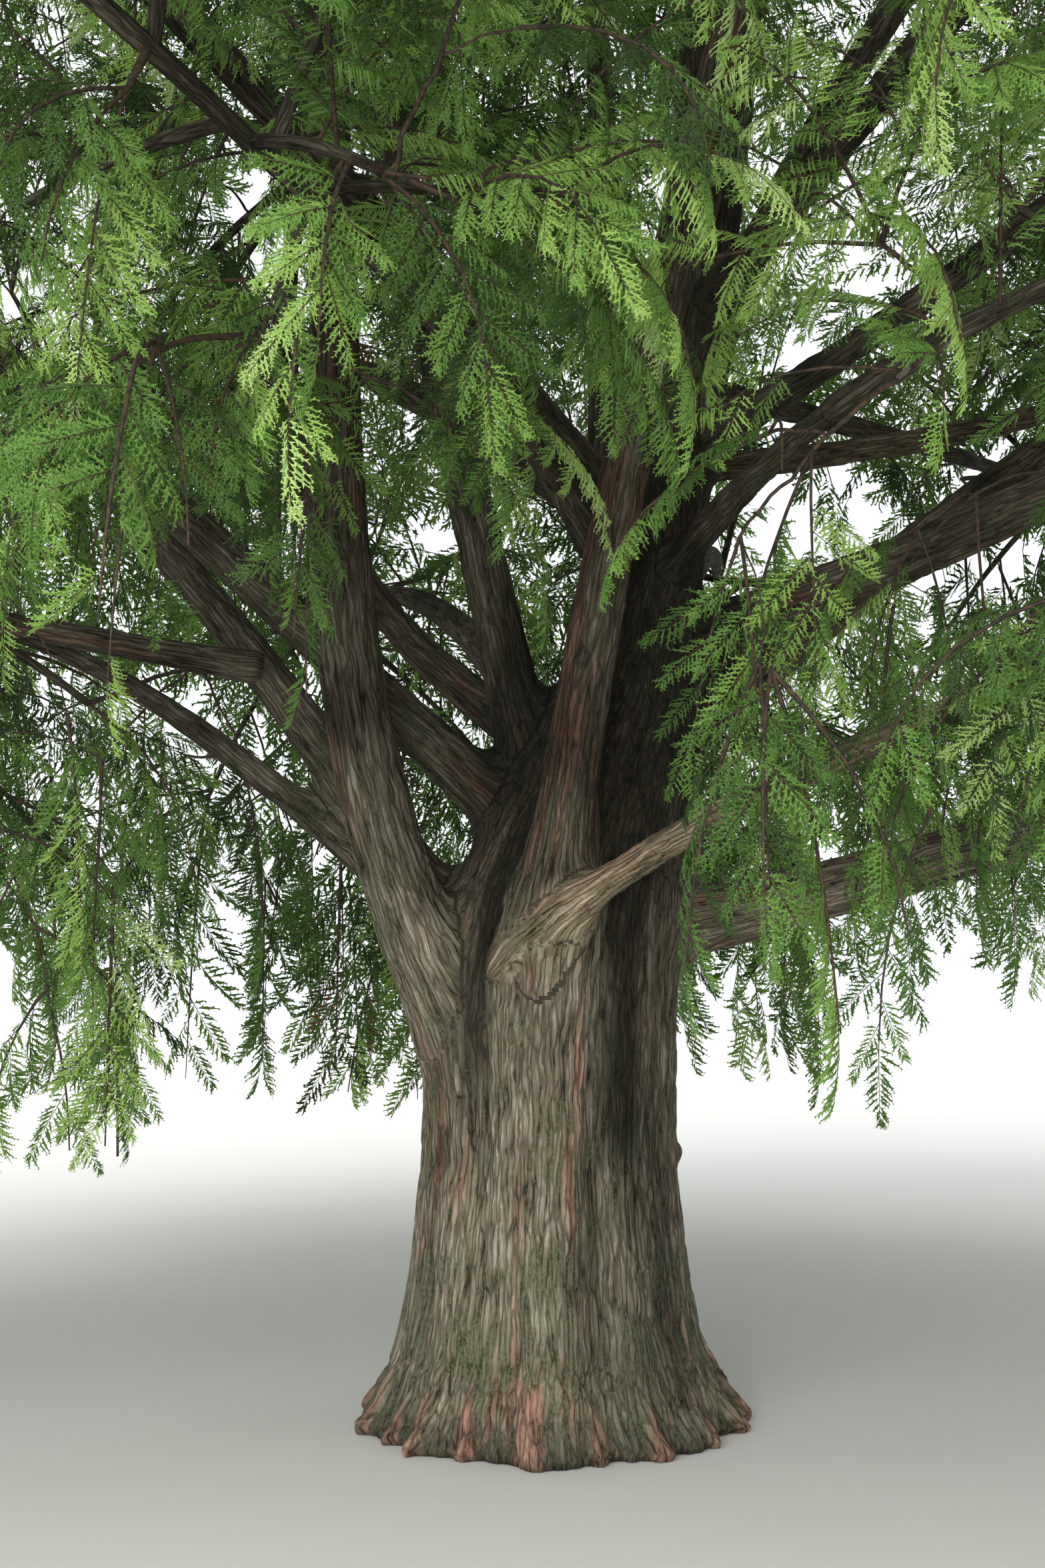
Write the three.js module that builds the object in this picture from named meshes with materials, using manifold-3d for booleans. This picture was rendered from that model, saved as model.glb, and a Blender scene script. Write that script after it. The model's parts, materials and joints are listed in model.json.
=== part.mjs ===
// Bald cypress: a low-forking trunk with a root flare, its boughs, and the masses of foliage that they carry.
import * as THREE from 'three';
import { mergeVertices } from 'three/addons/utils/BufferGeometryUtils.js';
import Module from 'manifold-3d';

// Sizes are in millimetres and angles in degrees. +Z is up and the tree's front faces -Y, with +X on its right. The
// origin is the middle of the flat cut at ground level. An azimuth of 0 is +X and one of 90 is +Y.
const CLEARANCE = 0.3;
const SEED = 1847;

// The trunk runs on as the leader up through the crown: height, axis x, axis y and radius at each station.
const TRUNK_SIDES = 20;
const TRUNK_STATIONS = [
  [0, 0, 0, 640], [120, 0, 0, 610], [300, 0, 0, 575], [600, 0, 0, 548], [1050, 0, 0, 522], [1550, 10, 0, 522],
  [2050, 60, 25, 500], [2500, 190, 90, 420], [2950, 330, 160, 320], [3500, 455, 195, 235], [4300, 580, 215, 200],
  [6200, 850, 250, 175], [8500, 960, 260, 150], [11000, 1000, 240, 122], [14000, 900, 150, 90],
  [17500, 730, 55, 48],
];

// Root buttresses round the foot: azimuth, how far each stands out at the ground, and half its angle.
const ROOTS = [
  [184, 150, 17], [206, 95, 11], [228, 120, 11], [252, 70, 9], [272, 135, 11], [297, 95, 10], [318, 140, 12],
  [344, 120, 12], [5, 150, 14], [38, 110, 14], [72, 140, 14], [104, 100, 13], [134, 130, 14], [160, 90, 11],
];
const ROOT_FADE = 300;

// Boughs follow a path rule. A bough leaves its carrier at a height, or at a share of the carrying bough's length,
// with its foot moved off the carrier's axis. It heads along an azimuth that turns evenly over its length, and its
// rise above level goes through three values at its root, middle and tip. Radii are at the root and at the tip.
const BOUGH_SIDES = 6;
const BOUGH_RINGS = 5;
const COLLAR_SWELL = 0.35;
const COLLAR_LENGTH = 320;
const BOUGHS = {
  front_left_stem: { height: 1250, foot: [-180, -80], azimuth: 204, turn: -20,
    rise: [52, 120, 62], length: 6300, radius: [165, 48] },
  left_stem: { height: 2450, foot: [-200, 0], azimuth: 185, turn: -5,
    rise: [76, 84, 58], length: 6900, radius: [115, 42] },
  front_stem: { height: 1450, foot: [-70, -400], azimuth: 350, turn: -40,
    rise: [84, 74, 66], length: 6800, radius: [125, 42] },
  right_stem: { height: 4150, foot: [-40, -20], azimuth: 352, turn: 6,
    rise: [66, 58, 44], length: 5300, radius: [92, 40] },
  back_stem: { height: 2600, foot: [20, 150], azimuth: 80, turn: 20,
    rise: [70, 80, 62], length: 6900, radius: [125, 44] },
  under_left_bough: { height: 1750, foot: [-250, 40], azimuth: 172, turn: -20,
    rise: [52, 56, 30], length: 4900, radius: [118, 44] },
  left_bough: { height: 2300, foot: [-150, 0], azimuth: 183, turn: 8,
    rise: [44, 38, 46], length: 5300, radius: [115, 44] },
  low_left_bough: { height: 1820, foot: [-250, 60], azimuth: 168, turn: 14,
    rise: [34, 50, 14], length: 2900, radius: [82, 34] },
  back_left_bough: { height: 2680, foot: [-100, 60], azimuth: 158, turn: -20,
    rise: [30, 50, 105], length: 3600, radius: [100, 42] },
  flat_left_bough: { carrier: 'under_left_bough', share: 0.36, foot: [0, -60], azimuth: 186, turn: 24,
    rise: [8, 10, 0], length: 3300, radius: [58, 32] },
  low_right_bough: { height: 1920, foot: [200, -30], azimuth: 358, turn: 0,
    rise: [10, 24, 22], length: 5200, radius: [138, 44] },
  pale_right_bough: { height: 1800, foot: [-210, -440], azimuth: 334, turn: -6,
    rise: [40, 0, 26], length: 4100, radius: [64, 32] },
  right_bough: { height: 3180, foot: [100, -60], azimuth: 352, turn: -6,
    rise: [16, 32, 22], length: 5200, radius: [125, 44] },
  back_right_bough: { height: 2680, foot: [180, 40], azimuth: 10, turn: 22,
    rise: [40, 40, 20], length: 5300, radius: [115, 42] },
  upper_right_bough: { height: 4020, foot: [0, -90], azimuth: 350, turn: -26,
    rise: [30, 34, 30], length: 5200, radius: [75, 34] },
  grey_right_bough: { height: 4060, foot: [60, 60], azimuth: 22, turn: 14,
    rise: [12, 20, 34], length: 4900, radius: [70, 34] },
  far_right_bough: { height: 4480, foot: [40, 80], azimuth: 45, turn: 16,
    rise: [8, 10, 12], length: 5200, radius: [66, 34] },
  front_left_bough: { height: 3300, foot: [-60, -100], azimuth: 238, turn: 0,
    rise: [44, 22, 8], length: 2300, radius: [72, 34] },
  front_right_bough: { height: 3450, foot: [40, -120], azimuth: 300, turn: 0,
    rise: [30, 10, -4], length: 2300, radius: [72, 34] },
  long_front_left_bough: { height: 3700, foot: [-80, -60], azimuth: 216, turn: 6,
    rise: [40, 34, 6], length: 5400, radius: [90, 40] },
  long_front_bough: { height: 5300, foot: [0, -100], azimuth: 262, turn: 6,
    rise: [36, 22, -4], length: 5300, radius: [84, 38] },
  long_front_right_bough: { height: 4700, foot: [40, -100], azimuth: 312, turn: -4,
    rise: [34, 26, 2], length: 5200, radius: [84, 38] },
  back_bough: { height: 3050, foot: [40, 120], azimuth: 74, turn: 8,
    rise: [34, 24, 6], length: 5200, radius: [105, 42] },
  far_back_bough: { height: 2500, foot: [-40, 140], azimuth: 108, turn: 4,
    rise: [40, 28, 2], length: 5200, radius: [110, 42] },
  back_left_high_bough: { height: 3700, foot: [-60, 90], azimuth: 136, turn: 0,
    rise: [40, 34, 8], length: 5200, radius: [95, 40] },
};

// A mass of foliage fills an egg-shaped space round the tip of its bough, or beside the leader at a height. Its
// sizes are how far the space reaches ahead of the tip and back from it, its half width, and its height above and
// its drop below the tip.
const MASSES = {
  front_left_stem: { space: [3000, 900, 1900, 3600, 1500] },
  left_stem: { space: [3300, 900, 1900, 3400, 1700] },
  front_stem: { space: [3100, 900, 2000, 3300, 1700] },
  right_stem: { space: [3400, 1000, 2100, 2800, 1800] },
  back_stem: { space: [3200, 900, 2100, 3200, 1800] },
  under_left_bough: { space: [3600, 1500, 2000, 1500, 2000] },
  left_bough: { space: [3300, 1700, 1900, 1900, 1700] },
  low_left_bough: { space: [2700, 1500, 1500, 900, 2200] },
  back_left_bough: { space: [2500, 1300, 1800, 2500, 1500] },
  flat_left_bough: { space: [3000, 1300, 1800, 900, 2000] },
  low_right_bough: { space: [2700, 2600, 1700, 1100, 1900] },
  pale_right_bough: { space: [3300, 1400, 1800, 900, 1700] },
  right_bough: { space: [2700, 2500, 1700, 1500, 1500] },
  back_right_bough: { space: [3000, 1600, 1800, 1600, 1700] },
  upper_right_bough: { space: [2600, 1900, 1800, 2000, 1300] },
  grey_right_bough: { space: [2600, 2200, 1700, 2500, 1300] },
  far_right_bough: { space: [2700, 1900, 2000, 1800, 2000] },
  front_left_bough: { space: [1700, 900, 1400, 1500, 1200], spray: 1150 },
  front_right_bough: { space: [1500, 900, 1300, 1000, 1900], spray: 1150 },
  long_front_left_bough: { space: [2900, 2000, 2100, 1700, 2300] },
  long_front_bough: { space: [3100, 1700, 2200, 1900, 1900] },
  long_front_right_bough: { space: [3000, 1900, 2100, 1700, 2200] },
  back_bough: { space: [2900, 2100, 2100, 1800, 2500] },
  far_back_bough: { space: [3000, 2000, 2100, 1600, 2600] },
  back_left_high_bough: { space: [2900, 1900, 2100, 1800, 2400] },
  leader_front: { height: 11000, azimuth: 268, rise: 34, space: [4800, 300, 2300, 2500, 1800] },
  leader_left: { height: 11900, azimuth: 156, rise: 40, space: [4500, 300, 2300, 2400, 1800] },
  leader_right: { height: 11400, azimuth: 28, rise: 38, space: [4600, 300, 2300, 2500, 1800] },
  leader_back: { height: 11700, azimuth: 92, rise: 38, space: [4300, 300, 2300, 2500, 1800] },
  leader_front_left: { height: 12700, azimuth: 212, rise: 38, space: [4200, 300, 2100, 2400, 1800] },
  high_front: { height: 14300, azimuth: 320, rise: 42, space: [3700, 300, 2000, 2500, 1500] },
  high_left: { height: 15100, azimuth: 190, rise: 44, space: [3500, 300, 1900, 2500, 1500] },
  high_back: { height: 14400, azimuth: 88, rise: 42, space: [3700, 300, 2000, 2500, 1500] },
  top: { tip: true, azimuth: 150, rise: 84, level: 78, space: [1900, 1900, 1900, 2500, 1700], spray: 1500 },
};

// Each mass grows by one seeded rule: a stem, twigs that run from it to points spread evenly through the space, and
// flat toothed sprays that fan out from the end and the side of each twig. The stem leaves its bough's tip, or the
// leader, at its own rise, and bends towards a level and then below it.
const SPACE_OVERLAP = 1.32;
const CELL_MARGIN = 12;
const LEADER_BOUGH_RADIUS = 66;
const STEM_SHARE = 0.46;
const STEM_RINGS = 3;
const STEM_TURN = 12;
const STEM_LEVEL = 20;
const STEM_NOD = 20;
const TWIG_COUNT = 7;
const TWIG_DEPTH = 0.44;
const TWIG_LEAN = 0.8;
const TWIG_FIRST_STATION = 5;
const TWIG_RADIUS = [32, 16];
const TWIG_TAPER = 0.8;
const TWIG_SIDES = 3;

// A spray's outline is drawn for a length of one, up to a ridge on both faces. Its length varies by a share either
// way, and it is made shorter where it doesn't fit. Its droop and roll vary about their middles.
const SPRAY_OUTLINE = [[0, 0], [0.34, 0.3], [0.47, 0.15], [0.78, 0.25], [1, 0], [0.58, -0.34], [0.38, -0.14]];
const SPRAY_RIDGE = 0.36;
const SPRAY_THICKNESS = 0.045;
const SPRAY_LENGTH = 2100;
const SPRAY_VARIES = 0.15;
const SPRAY_SIZES = [1, 0.8, 0.62];
const SPRAY_PLACES = [{ share: 0.94, turn: 8 }, { share: 0.5, turn: -64 }];
const SPRAY_MIDDLES = [0.35, 0.6, 0.85];
const SPRAY_SPACING = 720;
const SPRAY_DROOP = 20;
const SPRAY_DROOP_VARIES = 12;
const SPRAY_ROLL = 75;
const SMALLEST_FACET = 4;

// The crown's outline is its radius at each height. Under the front it is lifted to leave headroom.
const CROWN_OUTLINE = [
  [0, 5200], [1500, 6900], [3500, 7700], [6000, 8000], [9000, 7100], [12000, 5800], [15000, 4300], [18000, 2500],
  [20000, 600],
];
const CROWN_AXIS = [150, 0];
const SKIRT_HEIGHT = 1150;
const HEADROOM = { y: -3350, height: 4100, slope: 0.55, lowest: 2400 };

const radians = THREE.MathUtils.degToRad;

// A seeded random number generator that gives the same numbers on every run.
function seededRandom(seed) {
  let state = seed >>> 0;
  return () => {
    state = (state + 0x6d2b79f5) >>> 0;
    let t = state;
    t = Math.imul(t ^ (t >>> 15), t | 1);
    t ^= t + Math.imul(t ^ (t >>> 7), t | 61);
    return ((t ^ (t >>> 14)) >>> 0) / 4294967296;
  };
}

// Random number between -1 and 1.
function centred(random) {
  return 2 * random() - 1;
}

// Straight-line reading of a table whose rows start with the value to look up.
function readTable(table, at, column) {
  const above = Math.max(1, table.findIndex((row) => row[0] >= at));
  const upper = table[at > table.at(-1)[0] ? table.length - 1 : above];
  const lower = table[table.indexOf(upper) - 1];
  const share = THREE.MathUtils.clamp((at - lower[0]) / (upper[0] - lower[0]), 0, 1);
  return THREE.MathUtils.lerp(lower[column], upper[column], share);
}

// Unit vector of a heading given by azimuth and rise.
function heading(azimuth, rise) {
  const level = Math.cos(radians(rise));
  return new THREE.Vector3(level * Math.cos(radians(azimuth)), level * Math.sin(radians(azimuth)),
    Math.sin(radians(rise)));
}

// Point on the trunk's axis at a height, with the trunk's radius there.
function trunkAt(height) {
  return {
    point: new THREE.Vector3(readTable(TRUNK_STATIONS, height, 1), readTable(TRUNK_STATIONS, height, 2), height),
    radius: readTable(TRUNK_STATIONS, height, 3),
  };
}

// Value of a curve through the influence of three values, at a share of the way along.
function blend([root, middle, tip], share) {
  return (1 - share) ** 2 * root + 2 * share * (1 - share) * middle + share ** 2 * tip;
}

// Stations along a limb: points with heading and radius, worked out in small equal steps.
const PATH_STEPS = 48;
function limbPath({ start, azimuth, turn, rise, length, radius, swell = 0 }) {
  const stations = [];
  const point = start.clone();
  for (let step = 0; step <= PATH_STEPS; step++) {
    const share = step / PATH_STEPS;
    const station = { point: point.clone(), azimuth: azimuth + turn * share, rise: blend(rise, share) };
    station.radius = THREE.MathUtils.lerp(radius[0], radius[1], share)
      + radius[0] * swell * Math.exp(-share * length / COLLAR_LENGTH);
    stations.push(station);
    const middle = (step + 0.5) / PATH_STEPS;
    point.addScaledVector(heading(azimuth + turn * middle, blend(rise, middle)), length / PATH_STEPS);
  }
  return stations;
}

// Station part-way along a path.
function stationAt(path, share) {
  return path[Math.round(share * (path.length - 1))];
}

// Every so many stations of a path, with both its ends.
function thinned(path, rings) {
  return Array.from({ length: rings + 1 }, (_, ring) => stationAt(path, ring / rings));
}

// Closed tube round a row of stations, made from a cylinder whose rings are moved to them. It can be fattened.
function tubeGeometry(stations, sides, extra = 0) {
  const geometry = new THREE.CylinderGeometry(1, 1, 1, sides, stations.length - 1);
  const position = geometry.attributes.position;
  for (let i = 0; i < position.count; i++) {
    const ring = Math.round((position.getY(i) + 0.5) * (stations.length - 1));
    const { point, azimuth, rise, radius } = stations[ring];
    const across = heading(azimuth + 90, 0);
    const upward = heading(azimuth, rise + 90);
    const moved = point.clone()
      .addScaledVector(across, position.getX(i) * (radius + extra))
      .addScaledVector(upward, -position.getZ(i) * (radius + extra));
    position.setXYZ(i, moved.x, moved.y, moved.z);
  }
  return geometry;
}

// How far the root buttresses push the trunk's outline out, in one direction at one height.
function rootBulge(azimuth, height) {
  return ROOTS.reduce((total, [middle, reach, half]) => {
    const away = THREE.MathUtils.euclideanModulo(azimuth - middle + 180, 360) - 180;
    return total + reach * Math.exp(-((away / half) ** 2)) * Math.exp(-height / ROOT_FADE);
  }, 0);
}

// The trunk: level rings round its leaning axis, pushed out at the foot by the roots.
function trunkGeometry(extra = 0) {
  const last = TRUNK_STATIONS.length - 1;
  const geometry = new THREE.CylinderGeometry(1, 1, 1, TRUNK_SIDES, last);
  const position = geometry.attributes.position;
  for (let i = 0; i < position.count; i++) {
    const [height, x, y, radius] = TRUNK_STATIONS[Math.round((position.getY(i) + 0.5) * last)];
    const spread = Math.hypot(position.getX(i), position.getZ(i)) > 0.5 ? 1 : 0;
    const angle = Math.atan2(position.getZ(i), position.getX(i));
    const out = spread * (radius + extra + rootBulge(THREE.MathUtils.radToDeg(-angle), height));
    position.setXYZ(i, x + out * Math.cos(angle), y - out * Math.sin(angle), height);
  }
  return geometry;
}

// Flat toothed spray, one unit long along +X and thin along Z.
function sprayGeometry() {
  const count = SPRAY_OUTLINE.length;
  const points = SPRAY_OUTLINE.map(([along, across]) => [along, across, 0]);
  points.push([SPRAY_RIDGE, 0, SPRAY_THICKNESS / 2], [SPRAY_RIDGE, 0, -SPRAY_THICKNESS / 2]);
  const faces = SPRAY_OUTLINE.flatMap((_, i) => {
    const next = (i + 1) % count;
    return [next, i, count, i, next, count + 1];
  });
  const geometry = new THREE.BufferGeometry();
  geometry.setAttribute('position', new THREE.Float32BufferAttribute(points.flat(), 3));
  geometry.setIndex(faces);
  return geometry;
}

const wasm = await Module();
wasm.setup();

// Solid of a closed geometry, with its shared corners merged.
function toSolid(source) {
  const geometry = source.clone();
  geometry.deleteAttribute('normal');
  geometry.deleteAttribute('uv');
  const merged = mergeVertices(geometry, 1e-3);
  return new wasm.Manifold(new wasm.Mesh({
    numProp: 3,
    vertProperties: new Float32Array(merged.attributes.position.array),
    triVerts: new Uint32Array(merged.index.array),
  }));
}

// Geometry of a solid.
function toGeometry(solid) {
  const mesh = solid.getMesh();
  const geometry = new THREE.BufferGeometry();
  geometry.setAttribute('position', new THREE.BufferAttribute(mesh.vertProperties, 3));
  geometry.setIndex(new THREE.BufferAttribute(mesh.triVerts, 1));
  geometry.computeVertexNormals();
  return geometry;
}

// The largest body of a solid, without loose scraps.
function largestBody(solid) {
  return solid.decompose().reduce((best, body) => (body.volume() > best.volume() ? body : best));
}

// A solid less every other solid that it runs into.
function cutClear(solid, others) {
  return others.reduce((rest, other) => (rest.intersect(other).isEmpty() ? rest : rest.subtract(other)), solid);
}

// Paths of the boughs, worked out in order because a bough may start on an earlier one.
const boughPaths = {};
for (const [name, bough] of Object.entries(BOUGHS)) {
  const root = bough.carrier ? stationAt(boughPaths[bough.carrier], bough.share) : trunkAt(bough.height);
  const start = root.point.clone().add(new THREE.Vector3(bough.foot[0], bough.foot[1], 0));
  boughPaths[name] = limbPath({ ...bough, start, swell: COLLAR_SWELL });
}

// Solids of the trunk and boughs. Each bough is cut clear of the trunk and of the boughs before it.
const trunkSolid = toSolid(trunkGeometry());
const fatLimbs = [toSolid(trunkGeometry(CLEARANCE))];
const boughSolids = {};
for (const [name, path] of Object.entries(boughPaths)) {
  const rings = thinned(path, BOUGH_RINGS);
  boughSolids[name] = largestBody(cutClear(toSolid(tubeGeometry(rings, BOUGH_SIDES)), fatLimbs));
  fatLimbs.push(toSolid(tubeGeometry(rings, BOUGH_SIDES, CLEARANCE)));
}

const limbs = wasm.Manifold.union(fatLimbs);
const trunkTip = trunkAt(TRUNK_STATIONS.at(-1)[0]);

// The space of a mass: a frame at the start of its stem, its middle and its three half sizes.
function massSpace(name, mass) {
  const carrier = mass.tip ? trunkTip : mass.height ? trunkAt(mass.height) : boughPaths[name].at(-1);
  const { azimuth = carrier.azimuth, rise = carrier.rise, level = STEM_LEVEL, spray = SPRAY_LENGTH } = mass;
  const start = carrier.point.clone();
  const [ahead, behind, half, above, below] = mass.space;
  const along = heading(azimuth, 0);
  const across = heading(azimuth + 90, 0);
  const middle = start.clone().addScaledVector(along, (ahead - behind) / 2);
  middle.z += (above - below) / 2;
  const sizes = [(ahead + behind) / 2, half, (above + below) / 2].map((size) => size * SPACE_OVERLAP);
  const weight = Math.cbrt(sizes[0] * sizes[1] * sizes[2]) ** 2;
  const [gap, radius] = mass.height ? [0, LEADER_BOUGH_RADIUS] : [CLEARANCE, carrier.radius];
  return { name, start, azimuth, rise, level, along, across, middle, sizes, weight, gap, radius, spray };
}
const spaces = Object.entries(MASSES).map(([name, mass]) => massSpace(name, mass));

// How deep a point lies in a space, as a share of its half sizes: under 1 is inside.
function depthIn(space, point) {
  const offset = point.clone().sub(space.middle);
  return Math.hypot(offset.dot(space.along) / space.sizes[0], offset.dot(space.across) / space.sizes[1],
    offset.z / space.sizes[2]);
}

// Whether a point lies inside the crown's outline and clear of the headroom.
function insideCrown(point) {
  const out = Math.hypot(point.x - CROWN_AXIS[0], point.y - CROWN_AXIS[1]);
  const headroom = Math.max(HEADROOM.lowest, HEADROOM.height + HEADROOM.slope * (point.y - HEADROOM.y));
  const under = point.y < HEADROOM.y ? headroom : SKIRT_HEIGHT;
  return point.z > under && out < readTable(CROWN_OUTLINE, point.z, 1);
}

// Whether a point is in a space, in its own cell among the other spaces, and inside the crown.
function holds(space, point) {
  if (depthIn(space, point) > 1 || !insideCrown(point)) return false;
  const own = point.distanceToSquared(space.middle) - space.weight;
  return spaces.every((other) => {
    if (other === space) return true;
    const apart = 2 * CELL_MARGIN * space.middle.distanceTo(other.middle);
    return own + apart < point.distanceToSquared(other.middle) - other.weight;
  });
}

// A spray of one length, by its root, its heading and the tilt of its flat face. Gives nothing where it would leave
// the space, touch a limb, or run into the middles of the sprays that are there.
function trySpray(space, { root, direction, roll, length }, middles) {
  const own = SPRAY_MIDDLES.map((share) => root.clone().addScaledVector(direction, length * share));
  if (own.some((point) => middles.some((other) => other.distanceTo(point) < SPRAY_SPACING))) return null;
  const level = new THREE.Vector3(-direction.y, direction.x, 0).normalize();
  const flat = level.applyAxisAngle(direction, roll);
  const normal = new THREE.Vector3().crossVectors(direction, flat);
  const matrix = new THREE.Matrix4().makeBasis(direction, flat, normal)
    .multiply(new THREE.Matrix4().makeScale(length, length, length)).setPosition(root);
  const geometry = sprayGeometry().applyMatrix4(matrix);
  const position = geometry.attributes.position;
  for (let i = 1; i < position.count; i++) {
    if (!holds(space, new THREE.Vector3().fromBufferAttribute(position, i))) return null;
  }
  const solid = toSolid(geometry);
  if (!solid.intersect(limbs).isEmpty()) return null;
  middles.push(...own);
  return solid;
}

// Places a spray at its full length or, where that doesn't fit, at a shorter one.
function placeSpray(space, root, direction, random, middles) {
  const full = space.spray * (1 + SPRAY_VARIES * centred(random));
  const roll = radians(SPRAY_ROLL * centred(random));
  for (const share of SPRAY_SIZES) {
    const solid = trySpray(space, { root, direction, roll, length: full * share }, middles);
    if (solid) return solid;
  }
  return null;
}

// Points spread evenly through a space: a spiral over a ball, stretched to the space's half sizes.
const GOLDEN_TURN = 137.508;
function spreadPoints(space, count, depth, phase) {
  return Array.from({ length: count }, (_, k) => {
    const direction = heading(phase + k * GOLDEN_TURN, THREE.MathUtils.radToDeg(Math.asin(1 - (2 * k + 1) / count)));
    return space.middle.clone()
      .addScaledVector(space.along, direction.x * space.sizes[0] * depth)
      .addScaledVector(space.across, direction.y * space.sizes[1] * depth)
      .add(new THREE.Vector3(0, 0, direction.z * space.sizes[2] * depth));
  });
}

// Azimuth and rise of a direction.
function anglesOf(direction) {
  const level = Math.hypot(direction.x, direction.y);
  return [Math.atan2(direction.y, direction.x), Math.atan2(direction.z, level)].map(THREE.MathUtils.radToDeg);
}

// The stem of a mass, from its bough's tip or the leader's axis to well inside the space.
function stemPath(space, random) {
  const middle = (space.rise + space.level) / 2;
  const path = limbPath({
    start: space.start.clone().addScaledVector(heading(space.azimuth, space.rise), space.gap),
    azimuth: space.azimuth,
    turn: STEM_TURN * centred(random),
    rise: [space.rise, middle, middle - STEM_NOD],
    length: STEM_SHARE * (space.sizes[0] + space.sizes[2]),
    radius: [space.radius, TWIG_RADIUS[0]],
  });
  const inside = path.map((station) => holds(space, station.point));
  return path.slice(0, Math.max(inside.lastIndexOf(true), STEM_RINGS) + 1);
}

// Grows one mass: its stem, its twigs and the sprays on them, joined into one solid.
function growMass(space, index) {
  const random = seededRandom(SEED + index);
  const stem = stemPath(space, random);
  const pieces = [toSolid(tubeGeometry(thinned(stem, STEM_RINGS), TWIG_SIDES))];
  const middles = [];
  const addSpray = ({ point, azimuth, rise }) => {
    const droop = SPRAY_DROOP + SPRAY_DROOP_VARIES * centred(random);
    const spray = placeSpray(space, point, heading(azimuth, rise - droop), random, middles);
    if (spray) pieces.push(spray);
  };
  spreadPoints(space, TWIG_COUNT, TWIG_DEPTH, 360 * random()).forEach((aim, k) => {
    const distances = stem.map(({ point }) => point.distanceTo(aim));
    const nearest = distances.indexOf(Math.min(...distances));
    const root = stem[Math.max(Math.round(nearest * TWIG_LEAN), TWIG_FIRST_STATION)];
    const [azimuth, rise] = anglesOf(aim.clone().sub(root.point));
    const length = root.point.distanceTo(aim);
    const radius = [Math.min(TWIG_RADIUS[0], root.radius * TWIG_TAPER), TWIG_RADIUS[1]];
    const twig = limbPath({ start: root.point, azimuth, turn: 0, rise: [rise, rise, rise], length, radius });
    const branch = toSolid(tubeGeometry(thinned(twig, 1), TWIG_SIDES));
    if (!holds(space, aim) || !branch.intersect(limbs).isEmpty()) return;
    pieces.push(branch);
    const [outward, climb] = anglesOf(aim.clone().sub(space.middle));
    for (const { share, turn } of SPRAY_PLACES) {
      addSpray({ point: stationAt(twig, share).point, azimuth: outward + (k % 2 ? turn : -turn), rise: climb });
    }
  });
  addSpray(stem.at(-2));
  return largestBody(cutClear(wasm.Manifold.union(pieces).simplify(SMALLEST_FACET), fatLimbs));
}

// One named mesh of the tree.
function namedMesh(name, solid, material) {
  const mesh = new THREE.Mesh(toGeometry(solid), material.clone());
  mesh.name = name;
  return mesh;
}

const bark = new THREE.MeshStandardMaterial({ color: 0x6f6257, roughness: 0.95, metalness: 0 });
const needles = new THREE.MeshStandardMaterial({ color: 0x5d8a3e, roughness: 0.8, metalness: 0 });

const tree = new THREE.Group();
tree.add(namedMesh('trunk', trunkSolid, bark));
for (const [name, solid] of Object.entries(boughSolids)) tree.add(namedMesh(name, solid, bark));
spaces.forEach((space, index) => {
  tree.add(namedMesh(`${space.name}_foliage`, growMass(space, index), needles));
});

export default tree;
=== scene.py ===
"""Looks of a bald cypress: fissured bark on its trunk and boughs, and feathery needles on finer twigs.

Sizes are in metres and angles in degrees. The frame is the part's own: +Z is up, the front faces -Y, and the
origin is the middle of the trunk's foot. An azimuth of 0 is +X and one of 90 is +Y.
"""

import itertools
import json
import logging
import math
from collections.abc import Iterator
from dataclasses import dataclass, field, fields, replace
from enum import Enum

import bmesh
import bpy
import numpy as np
import openvdb
from bpy.types import Collection, Light, Material, Mesh, Node, NodeSocket, NodeTree, Object
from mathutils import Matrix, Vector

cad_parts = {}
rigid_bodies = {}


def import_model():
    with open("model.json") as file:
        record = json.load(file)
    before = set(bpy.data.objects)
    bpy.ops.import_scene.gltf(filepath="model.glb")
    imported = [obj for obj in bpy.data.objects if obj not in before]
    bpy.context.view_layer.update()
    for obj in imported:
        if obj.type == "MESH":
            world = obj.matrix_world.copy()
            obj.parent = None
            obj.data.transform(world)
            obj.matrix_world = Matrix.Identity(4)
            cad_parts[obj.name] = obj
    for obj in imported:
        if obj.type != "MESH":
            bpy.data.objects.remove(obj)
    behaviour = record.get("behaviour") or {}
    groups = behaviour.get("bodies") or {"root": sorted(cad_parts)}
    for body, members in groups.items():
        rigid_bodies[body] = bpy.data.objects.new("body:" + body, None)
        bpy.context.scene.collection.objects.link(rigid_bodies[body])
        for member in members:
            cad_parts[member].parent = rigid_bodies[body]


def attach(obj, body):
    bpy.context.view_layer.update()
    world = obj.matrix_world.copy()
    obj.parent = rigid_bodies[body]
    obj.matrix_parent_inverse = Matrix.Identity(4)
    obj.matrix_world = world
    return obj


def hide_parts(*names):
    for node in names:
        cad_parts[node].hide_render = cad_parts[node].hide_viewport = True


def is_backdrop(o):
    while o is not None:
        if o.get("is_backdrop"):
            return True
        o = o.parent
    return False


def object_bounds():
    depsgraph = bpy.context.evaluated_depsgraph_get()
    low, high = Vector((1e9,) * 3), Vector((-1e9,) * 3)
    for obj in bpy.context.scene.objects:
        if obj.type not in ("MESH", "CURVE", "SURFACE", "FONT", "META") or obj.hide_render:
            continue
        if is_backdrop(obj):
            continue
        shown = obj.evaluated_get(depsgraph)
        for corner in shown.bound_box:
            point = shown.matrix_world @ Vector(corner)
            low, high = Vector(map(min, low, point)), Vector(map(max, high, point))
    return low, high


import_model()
CAD_LOW, CAD_HIGH = (np.array(corner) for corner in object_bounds())

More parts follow.
